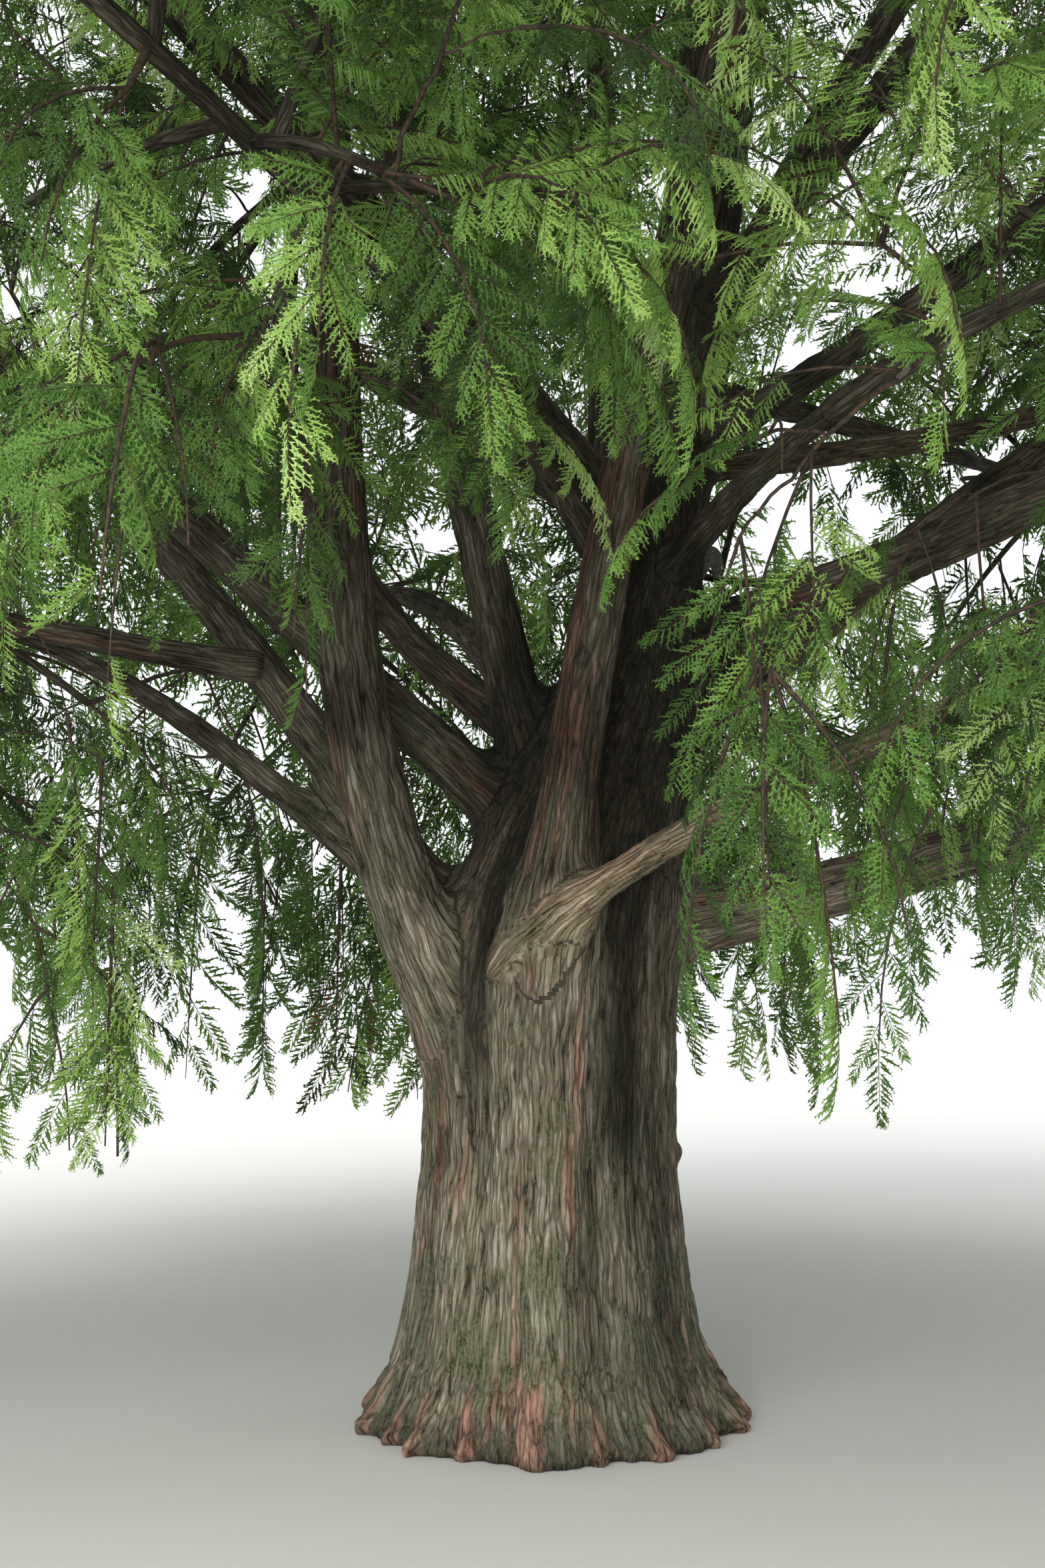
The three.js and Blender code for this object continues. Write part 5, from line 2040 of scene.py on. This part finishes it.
    def density(self, points: np.ndarray) -> np.ndarray:
        """How many fronds a cubic metre holds at points.

        There are more in the view, where they are smaller. They gather in clumps and in the plumes that hang
        in front, and leave the openings free.

        Args:
            points: a row for each point.

        Returns:
            The counts.
        """
        seen, ahead = self.camera.seen(points, 0.5)
        near = 1 - smooth_step(0.45 * self.near_reach, self.near_reach, ahead)
        front = 1 - smooth_step(*self.plume_depth, ahead)
        plumes = 1 + front * np.maximum(self.plume_gain * self.camera.within(points, PLUMES),
                                        self.full_plume_gain * self.camera.within(points, FULL_PLUMES))
        uneven = smooth_step(-0.3, 0.4, self.noise.at(points / self.clump))
        clumps = self.clump_floor + self.clump_gain * uneven
        plumes *= 1 - self.bared(points)
        count = (self.seen_density + (self.near_density - self.seen_density) * near) * plumes * clumps
        hidden = self.far_density * (1 + self.top_gain * smooth_step(8, 17, points[:, 2]))
        return np.where(seen, count * (1 - self.camera.within(points, OPENINGS)), hidden)

    def bared(self, points: np.ndarray) -> np.ndarray:
        """Returns how much of the foliage is left out at points so that the boughs show, from 0 to 1."""
        near = 1 - smooth_step(*self.bare_depth, self.camera.in_frame(points)[1])
        return self.bare_share * near * self.camera.within(points, BARE_LIMBS)

    def fill(self, space: Space, carriers: list[Limb], finer: np.random.Generator) -> None:
        """Grows finer fronds to points scattered through the rest of the space.

        Args:
            space: the mass's space.
            carriers: stem and twigs that they may leave.
            finer: the mass's random numbers for finer growth.
        """
        points = np.vstack([limb.points for limb in carriers])
        radii = np.concatenate([limb.radius for limb in carriers])
        most = self.near_density * (1 + self.full_plume_gain) * (self.clump_floor + self.clump_gain)
        count = int(4 / 3 * math.pi * space.sizes.prod() * most)
        spread = unit(finer.normal(size=(count, 3))) * finer.random((count, 1)) ** (1 / 3) * self.filled
        aims = space.middle + spread * space.sizes @ space.turned
        kept = self.plan.holds(space, aims) & (finer.random(count) * most < self.density(aims))
        aims = aims[kept]
        arms = self.arms
        for aim in aims[np.linalg.norm(aims - space.start, axis=1).argsort()]:
            homing = arms.homing * np.linalg.norm(points - space.start, axis=1)
            nearest = int((np.linalg.norm(points - aim, axis=1) + homing).argmin())
            root, width = points[nearest], radii[nearest]
            reach = float(np.linalg.norm(aim - root))
            length = self.frond_share * self.feather_size(aim) * finer.uniform(*self.frond_varies)
            bare = reach - 0.5 * length
            azimuth, rise = angles_of(aim - root)
            if bare > arms.shortest:
                radius = tuple(min(most, width * taper) for most, taper in zip(arms.radius, arms.taper))
                twig = self.arm(root, root + (aim - root) * bare / reach, finer.uniform(*arms.lift), radius)
                twig = self.wavering(twig, finer)
                if not self.plan.clear(twig.points[arms.rooted:]).all():
                    continue
                self.add_twig(twig, arms.steps)
                forks = slice(arms.fork_step, None, arms.fork_step)
                points, radii = np.vstack((points, twig.points[forks])), np.append(radii, twig.radius[forks])
                root, rise = twig.points[-1], twig.rise[-1]
            least, more = self.frond_spread
            spread = least + more * self.camera.within(aim[None], FULL_PLUMES)[0]
            azimuth += finer.uniform(-spread, spread)
            rise -= finer.uniform(*self.frond_nod)
            roll = finer.uniform(-self.frond_roll, self.frond_roll)
            self.frond(space, root, azimuth, rise, roll, length, finer)

    def frond(self, space: Space, root: np.ndarray, azimuth: float, rise: float, roll: float, length: float,
              finer: np.random.Generator, proud: float = -0.1) -> None:
        """Grows one frond: a drooping axis with feathers on both sides, or smaller fronds where it is long.

        Args:
            space: the mass's space.
            root: where it starts.
            azimuth: its heading.
            rise: its mean rise.
            roll: the tilt of its flat face.
            length: its length.
            finer: the mass's random numbers for finer growth.
            proud: how far outside the box of the solids its axis may reach.
        """
        shape = self.shape
        turn = finer.uniform(-shape.turn, shape.turn)
        first, middle, last = (rise + change for change in shape.rise_changes)
        axis = Limb.grown(root, azimuth - turn / 2, turn, (first, middle, max(last, shape.steepest)), length,
                          (shape.radius[0] + shape.radius_gain * length, shape.radius[1]))
        good = self.plan.inside_crown(axis.points, 0.1) & self.plan.clear(axis.points, shape.bark_gap)
        good &= self.in_box(axis.points, proud)
        bad = np.flatnonzero(~good[PATH_STEPS // 3:])
        if len(bad):
            if bad[0] < PATH_STEPS // 6:
                return
            axis = axis.part(0, PATH_STEPS // 3 + bad[0])
        length = float(axis.lengths()[-1])
        size = min(self.feather_size(axis.points[k]) for k in (0, len(axis.points) // 2, -1))
        self.add_twig(axis, shape.steps)
        branched = length > self.branching * size
        count = max(shape.fewest, int((1 - shape.foot) * length / (self.spacing * size)))
        if branched:
            count = shape.branches
        share = shape.foot + shape.clothed * (np.arange(count) + 0.5) / count
        stations = axis.at(share * length)
        tangent = heading(stations.azimuth, stations.rise)
        normal = self.rolled(tangent, roll)
        varied = finer.uniform(-shape.angle_varies, shape.angle_varies, count)
        angle = np.radians(shape.open_angle - shape.closing * share + varied)[:, None]
        side = np.where(np.arange(count) % 2, 1, -1)[:, None]
        along = tangent * np.cos(angle) + np.cross(normal, tangent) * np.sin(angle) * side
        if not branched:
            self.add_feathers(space, axis, share, (stations.points, along, normal), size, proud, finer)
            return
        for k in range(count):
            out, climb = angles_of(along[k])
            side_roll = roll * shape.kept_roll + finer.uniform(-shape.side_roll, shape.side_roll)
            side_length = length * (shape.side_length - shape.side_loss * share[k])
            climb -= shape.side_droop
            self.frond(space, stations.points[k], out, climb, side_roll, side_length, finer)
        end_length = shape.end_length * length
        self.frond(space, axis.points[-1], axis.azimuth[-1], axis.rise[-1], roll, end_length, finer)

    def add_feathers(self, space: Space, axis: Limb, share: np.ndarray,
                     places: tuple[np.ndarray, np.ndarray, np.ndarray], size: float, proud: float,
                     finer: np.random.Generator) -> None:
        """Notes the feathers on both sides of a frond and at its end, where the crown has room for them.

        Args:
            space: the mass's space.
            axis: the frond's axis.
            share: how far along the axis each side feather is.
            places: roots, directions and normals of the side feathers.
            size: their full length.
            proud: how far outside the box of the solids the axis may reach.
            finer: the mass's random numbers for finer growth.
        """
        shape, light = self.shape, self.light
        count = len(share) + 1
        points, along, normal = places
        points = np.vstack((points, axis.points[-1]))
        along = np.vstack((along, heading(axis.azimuth[-1], axis.rise[-1])))
        lengths = size * np.append(shape.feather - shape.feather_loss * share, shape.end_feather)
        lengths *= finer.uniform(*shape.feather_varies, count)
        along = unit(along + (0, 0, -shape.hang))
        normal = np.vstack((normal, normal[-1]))
        normal = unit(normal - along * (along * normal).sum(1, keepdims=True))
        tilt = np.radians(finer.uniform(-shape.tilt, shape.tilt, count))[:, None]
        normal = normal * np.cos(tilt) + np.cross(along, normal) * np.sin(tilt)
        tips = points + along * lengths[:, None] * shape.feather_reach
        kept = self.plan.inside_crown(tips, shape.past_crown) & self.in_box(tips, max(proud, shape.past_box))
        middles = (points + tips) / 2
        left_out = np.maximum(self.camera.within(middles, OPENINGS), self.bared(middles))
        kept &= finer.random(count) > left_out
        # Painted light: feathers are drawn brighter towards the frond's tip and in the front plumes.
        bright = self.light_at(space, axis.points[-1], finer) + finer.normal(0, light.feather_varies, count)
        bright += light.tip_gain * (np.append(share, 1) - 0.5)
        front = 1 - smooth_step(*self.plume_depth, self.camera.in_frame(axis.points[:1])[1])[0]
        bright += light.plume_gain * front * self.camera.within(axis.points[-1:], PLUMES)[0]
        rows = np.column_stack((points, along, normal, lengths, np.full(count, size), bright))
        self.feathers.append(rows[kept])

    @staticmethod
    def in_box(points: np.ndarray, proud: float) -> np.ndarray:
        """Returns which points are in the box of the solids, or no further outside it than a distance."""
        return ((points > CAD_LOW - proud) & (points < CAD_HIGH + proud)).all(1)

    @staticmethod
    def rolled(direction: np.ndarray, roll: float) -> np.ndarray:
        """Returns the upper normals of flat faces along directions, tilted by a roll from level."""
        level = unit(np.stack((-direction[:, 1], direction[:, 0], np.zeros(len(direction))), axis=1) + 1e-6)
        tilt = math.radians(roll)
        return unit(np.cross(direction, level) * math.cos(tilt) - level * math.sin(tilt))

    def feather_size(self, point: np.ndarray) -> float:
        """Returns the length of a feather at a place: true to life near the camera, larger further off."""
        seen, ahead = self.camera.seen(point[None], 1.0)
        if not seen[0]:
            return self.hidden_feather
        return float(np.clip(self.feather_growth * ahead[0], self.small_feather, self.large_feather))

    def light_at(self, space: Space, point: np.ndarray, finer: np.random.Generator) -> float:
        """Returns a frond's painted light, by its place in its mass and in the crown, and at random."""
        light = self.light
        out = float(space.depth(point[None])[0])
        high = (point[2] - space.middle[2]) / space.sizes[2]
        edge = np.interp(point[2], CROWN_OUTLINE[:, 0], CROWN_OUTLINE[:, 1])
        inside = edge - np.linalg.norm(point[:2] - CROWN_AXIS)
        shaded = light.inner_shade * float(smooth_step(*light.inner_depth, inside))
        lit = light.base + light.outer_gain * out + light.upper_gain * high - shaded
        return lit + finer.normal(0, light.frond_varies)

    def add_twig(self, limb: Limb, steps: int) -> None:
        """Notes a twig's path and widths, in a number of steps."""
        numbers = np.linspace(0, len(limb.points) - 1, steps + 1).round().astype(int)
        self.twigs.append((limb.points[numbers], limb.radius[numbers]))


@dataclass
class FoliageMaker:
    """Turns the grown foliage into pieces: bundles of twigs, and needles dealt out by tint."""

    foliage: Foliage
    near_size: float = 0.36
    middle_size: float = 0.5
    far_size: float = 0.7
    seen_margin: float = 0.15
    fine_below: float = 3.2
    variants: int = 4
    rusty: float = 0.01
    sides: int = 4
    details: tuple[tuple[int, float, int, float], ...] = (
        (3, 0.29, 28, 0.057),
        (2, 0.33, 23, 0.062),
        (2, 0.37, 17, 0.063),
        (1, 0.55, 10, 0.09),
        (1, 0.7, 8, 0.105),
    )

    def twig_pieces(self, finish: Material) -> list[Object]:
        """Makes the twigs as tapering tubes.

        Args:
            finish: the twigs' bark.

        Returns:
            The pieces.
        """
        tree = twig_tree()
        pieces = []
        paths = self.foliage.twigs
        cost = np.array([2 * self.sides * (len(points) - 1) + 2 * (self.sides - 2) for points, _ in paths])
        part = np.cumsum(cost) // MOST_TRIANGLES
        for number in range(int(part[-1]) + 1):
            some = [path for path, own in zip(paths, part) if own == number]
            points = np.vstack([points for points, _ in some])
            ends = np.cumsum([len(points) for points, _ in some])
            edges = np.column_stack((np.arange(len(points) - 1), np.arange(1, len(points))))
            mesh = new_mesh("paths", points, (), np.delete(edges, ends[:-1] - 1, axis=0))
            put_attribute(mesh, "width", "FLOAT", np.concatenate([widths for _, widths in some]))
            values = {"Sides": self.sides, "Thickness": 1.0, "Finish": finish}
            pieces.append(with_nodes(placed(mesh), tree, values, f"twigs_{number + 1}"))
            log.info("%s: %d twigs, %d faces", pieces[-1].name, len(some), len(pieces[-1].data.polygons))
        return pieces

    def needle_pieces(self, stalk_finish: Material) -> list[tuple[Object, str]]:
        """Makes the needles, dealt out by tint into pieces that each have one plain colour, and their stalks.

        Args:
            stalk_finish: the stalks' bark.

        Returns:
            The pieces, each with its slot.
        """
        rows = np.vstack(self.foliage.feathers)
        lengths, sizes, light = rows[:, 9], rows[:, 10], rows[:, 11]
        random = np.random.default_rng(SEED)
        middles = rows[:, :3] + rows[:, 3:6] * lengths[:, None] * 0.5
        clear = self.foliage.plan.clear(middles)
        detail = np.digitize(sizes, (self.near_size, self.middle_size))
        detail[(detail == 2) & (rows[:, 2] < self.fine_below)] = 1
        detail[~self.foliage.camera.seen(middles, self.seen_margin)[0]] = 3
        detail[sizes > self.far_size] = 4
        kinds = detail * self.variants + random.integers(0, self.variants, len(rows))
        tints = list(NeedleTint)
        greens = tints.index(NeedleTint.RUST)
        # The greens are lit and shaded copies of one needle colour, dealt out by each feather's painted
        # light.
        tint = np.clip((light * greens).astype(int), 0, greens - 1)
        tint[(random.random(len(tint)) < self.rusty) & (detail > 0)] = tints.index(NeedleTint.RUST)
        shelf, stalks = bpy.data.collections.new("branchlets"), bpy.data.collections.new("stalks")
        layouts, costs = [], []
        for number, (pairs, blade, branchlets, needle) in enumerate(self.details):
            for k in range(self.variants):
                shelf.objects.link(Branchlet(pairs, blade, SEED + k).make(f"branchlet_{number}_{k}"))
                plan = FeatherPlan(branchlets, needle, SEED + k)
                stalks.objects.link(plan.make_stalk(f"stalk_{number}_{k}"))
                layouts.append(plan.places())
                costs.append(len(layouts[-1]) * len(shelf.objects[-1].data.polygons))
        tree = growth_tree()
        pieces = []
        for number, colour in enumerate(tints):
            finish = NeedleFinish(colour).make()
            chosen = np.flatnonzero(clear & (tint == number))
            part = np.cumsum(np.array(costs)[kinds[chosen]]) // MOST_TRIANGLES
            for k in range(int(part.max(initial=-1)) + 1):
                name = f"needles_{colour.name.lower()}_{k + 1}"
                points = self.branchlets_of(rows, kinds, chosen[part == k], layouts)
                pieces.append((self.spread(points, shelf, tree, finish, name), "foliage"))
        chosen = np.flatnonzero(clear & (detail < 2))
        stretch = np.repeat(lengths[chosen, None], 3, axis=1)
        points = np.column_stack((rows[chosen, :9], stretch, kinds[chosen]))
        pieces.append((self.spread(points, stalks, tree, stalk_finish, "stalks"), "bough_bark"))
        for group in (shelf, stalks):
            for shape in list(group.objects):
                bpy.data.objects.remove(shape)
            bpy.data.collections.remove(group)
        return pieces

    def branchlets_of(self, rows: np.ndarray, kinds: np.ndarray, chosen: np.ndarray,
                      layouts: list[np.ndarray]) -> np.ndarray:
        """Works out where the branchlets of some feathers are.

        Args:
            rows: every feather with its directions and its length.
            kinds: number of each feather's layout.
            chosen: numbers of the feathers.
            layouts: the layouts, in units of a feather's length.

        Returns:
            A row for each branchlet: its root, direction, normal, stretch along each axis, and shape.
        """
        parts = []
        for kind in np.unique(kinds[chosen]):
            own, layout = rows[chosen[kinds[chosen] == kind]], layouts[kind]
            turn = np.stack((own[:, 3:6], np.cross(own[:, 6:9], own[:, 3:6]), own[:, 6:9]), axis=1)
            length = own[:, 9, None, None]
            count = len(own) * len(layout)
            roots = own[:, None, :3] + length * (layout[:, :3] @ turn)
            stretch = length * layout[:, 9:12]
            shape = kind - kind % self.variants + np.arange(count) % self.variants
            parts.append(np.column_stack([part.reshape(count, -1) for part in (
                roots, layout[:, 3:6] @ turn, layout[:, 6:9] @ turn, stretch, shape.astype(float))]))
        return np.vstack(parts)

    @staticmethod
    def spread(points: np.ndarray, shapes: Collection, tree: NodeTree,
               finish: Material, name: str) -> Object:
        """Puts a shape on each of many places.

        Args:
            points: a row for each place, direction, normal, stretch along each axis, and number of its shape.
            shapes: the shapes.
            tree: the geometry tree that places them.
            finish: their material.
            name: the piece's name.

        Returns:
            The piece.
        """
        mesh = new_mesh("places", points[:, :3], ())
        for column, attribute in ((3, "along"), (6, "normal_way"), (9, "stretch")):
            put_attribute(mesh, attribute, "FLOAT_VECTOR", points[:, column:column + 3])
        put_attribute(mesh, "kind", "INT", points[:, 12].astype(int))
        piece = with_nodes(placed(mesh), tree, {"Shapes": shapes, "Size": 1.0, "Finish": finish}, name)
        log.info("%s: %d places, %d faces", name, len(points), len(piece.data.polygons))
        return piece


@dataclass
class Studio:
    """A plain pale floor and soft light."""

    floor_size: float = 400
    floor_drop: float = 0.004
    floor_colour: str = "#dcdad5"
    floor_roughness: float = 0.9
    sky_colour: str = "#f4f7fa"
    sky_strength: float = 1.15
    key_strength: float = 2.2
    key_turn: tuple[float, float, float] = (48, 0, -28)
    key_softness: float = 50
    fill_power: float = 260
    fill_place: tuple[float, float, float] = (-1.2, -9.2, 1.9)
    fill_turn: tuple[float, float, float] = (92, 0, -6)
    fill_size: float = 3.5
    key_place: tuple[float, float, float] = (0, 0, 30)

    def make(self) -> None:
        """Adds the floor, the sky and the lights."""
        half = self.floor_size / 2
        corners = [(x * half, y * half, -self.floor_drop) for x, y in ((-1, -1), (1, -1), (1, 1), (-1, 1))]
        floor = placed(new_mesh("studio_floor", np.array(corners), [(0, 1, 2, 3)]))
        material, tree = new_material("pale_floor")
        end_material(tree, {"Base Color": linear(self.floor_colour), "Roughness": self.floor_roughness})
        floor.data.materials.append(material)
        floor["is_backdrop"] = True
        world = bpy.data.worlds.new("studio_sky")
        world.use_nodes = True
        world.node_tree.nodes.clear()
        sky = add_node(world.node_tree, "ShaderNodeBackground", {"Color": linear(self.sky_colour),
                                                                 "Strength": self.sky_strength})
        add_node(world.node_tree, "ShaderNodeOutputWorld", {"Surface": sky.outputs[0]})
        bpy.context.scene.world = world
        bpy.context.scene.view_settings.view_transform = "Standard"
        key = bpy.data.lights.new("key_light", "SUN")
        key.energy, key.angle = self.key_strength, math.radians(self.key_softness)
        self.hang(key, self.key_place, self.key_turn)
        fill = bpy.data.lights.new("fill_light", "AREA")
        fill.energy, fill.size = self.fill_power, self.fill_size
        self.hang(fill, self.fill_place, self.fill_turn)

    @staticmethod
    def hang(light: Light, place: tuple[float, float, float], turn: tuple[float, float, float]) -> None:
        """Puts a light in the scene, at a place and turned by three angles."""
        lamp = bpy.data.objects.new(light.name, light)
        lamp.location = place
        lamp.rotation_euler = [math.radians(angle) for angle in turn]
        bpy.context.scene.collection.objects.link(lamp)


def declare(piece: Object, nodes: list[str]) -> None:
    """Hangs a finished piece on the root body and hides the CAD nodes that it stands for.

    Args:
        piece: the piece.
        nodes: the CAD nodes that it stands for.
    """
    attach(piece, "root")
    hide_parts(*nodes)


def main() -> None:
    """Builds the tree, its studio and its camera."""
    logging.basicConfig(level=logging.INFO, format="%(name)s %(relativeCreated)d ms: %(message)s")
    camera = Camera()
    camera.make()
    Studio().make()
    plan = TreePlan()
    wood = Wood(plan, BarkRelief(), BarkTone())
    bark, twig_bark = BarkFinish().make(), TwigFinish().make()
    forks = TrunkAndForks(plan, wood)
    for piece in forks.make(bark):
        declare(piece, ["trunk"] if piece.name == "trunk_bark" else ["trunk", *BOUGHS])
    limbs = OuterLimbs(wood, forks)
    for piece in limbs.make(limbs.stretches(), "bough_bark", bark):
        declare(piece, list(piece["stands_for"]))
    foliage = Foliage(plan, camera)
    foliage.grow()
    masses = [f"{name}_foliage" for name in MASSES]
    stems = [Stretch(f"{name}_foliage", stem, 0, 40 + k, ring_step=0.1, side_step=0.036)
             for k, (name, stem) in enumerate(foliage.stems)]
    for piece in limbs.make(stems, "stem_bark", bark):
        declare(piece, list(piece["stands_for"]))
    maker = FoliageMaker(foliage)
    for piece in maker.twig_pieces(twig_bark):
        declare(piece, masses)
    for piece, slot in maker.needle_pieces(twig_bark):
        declare(piece, masses)


if __name__ == "__main__":
    main()
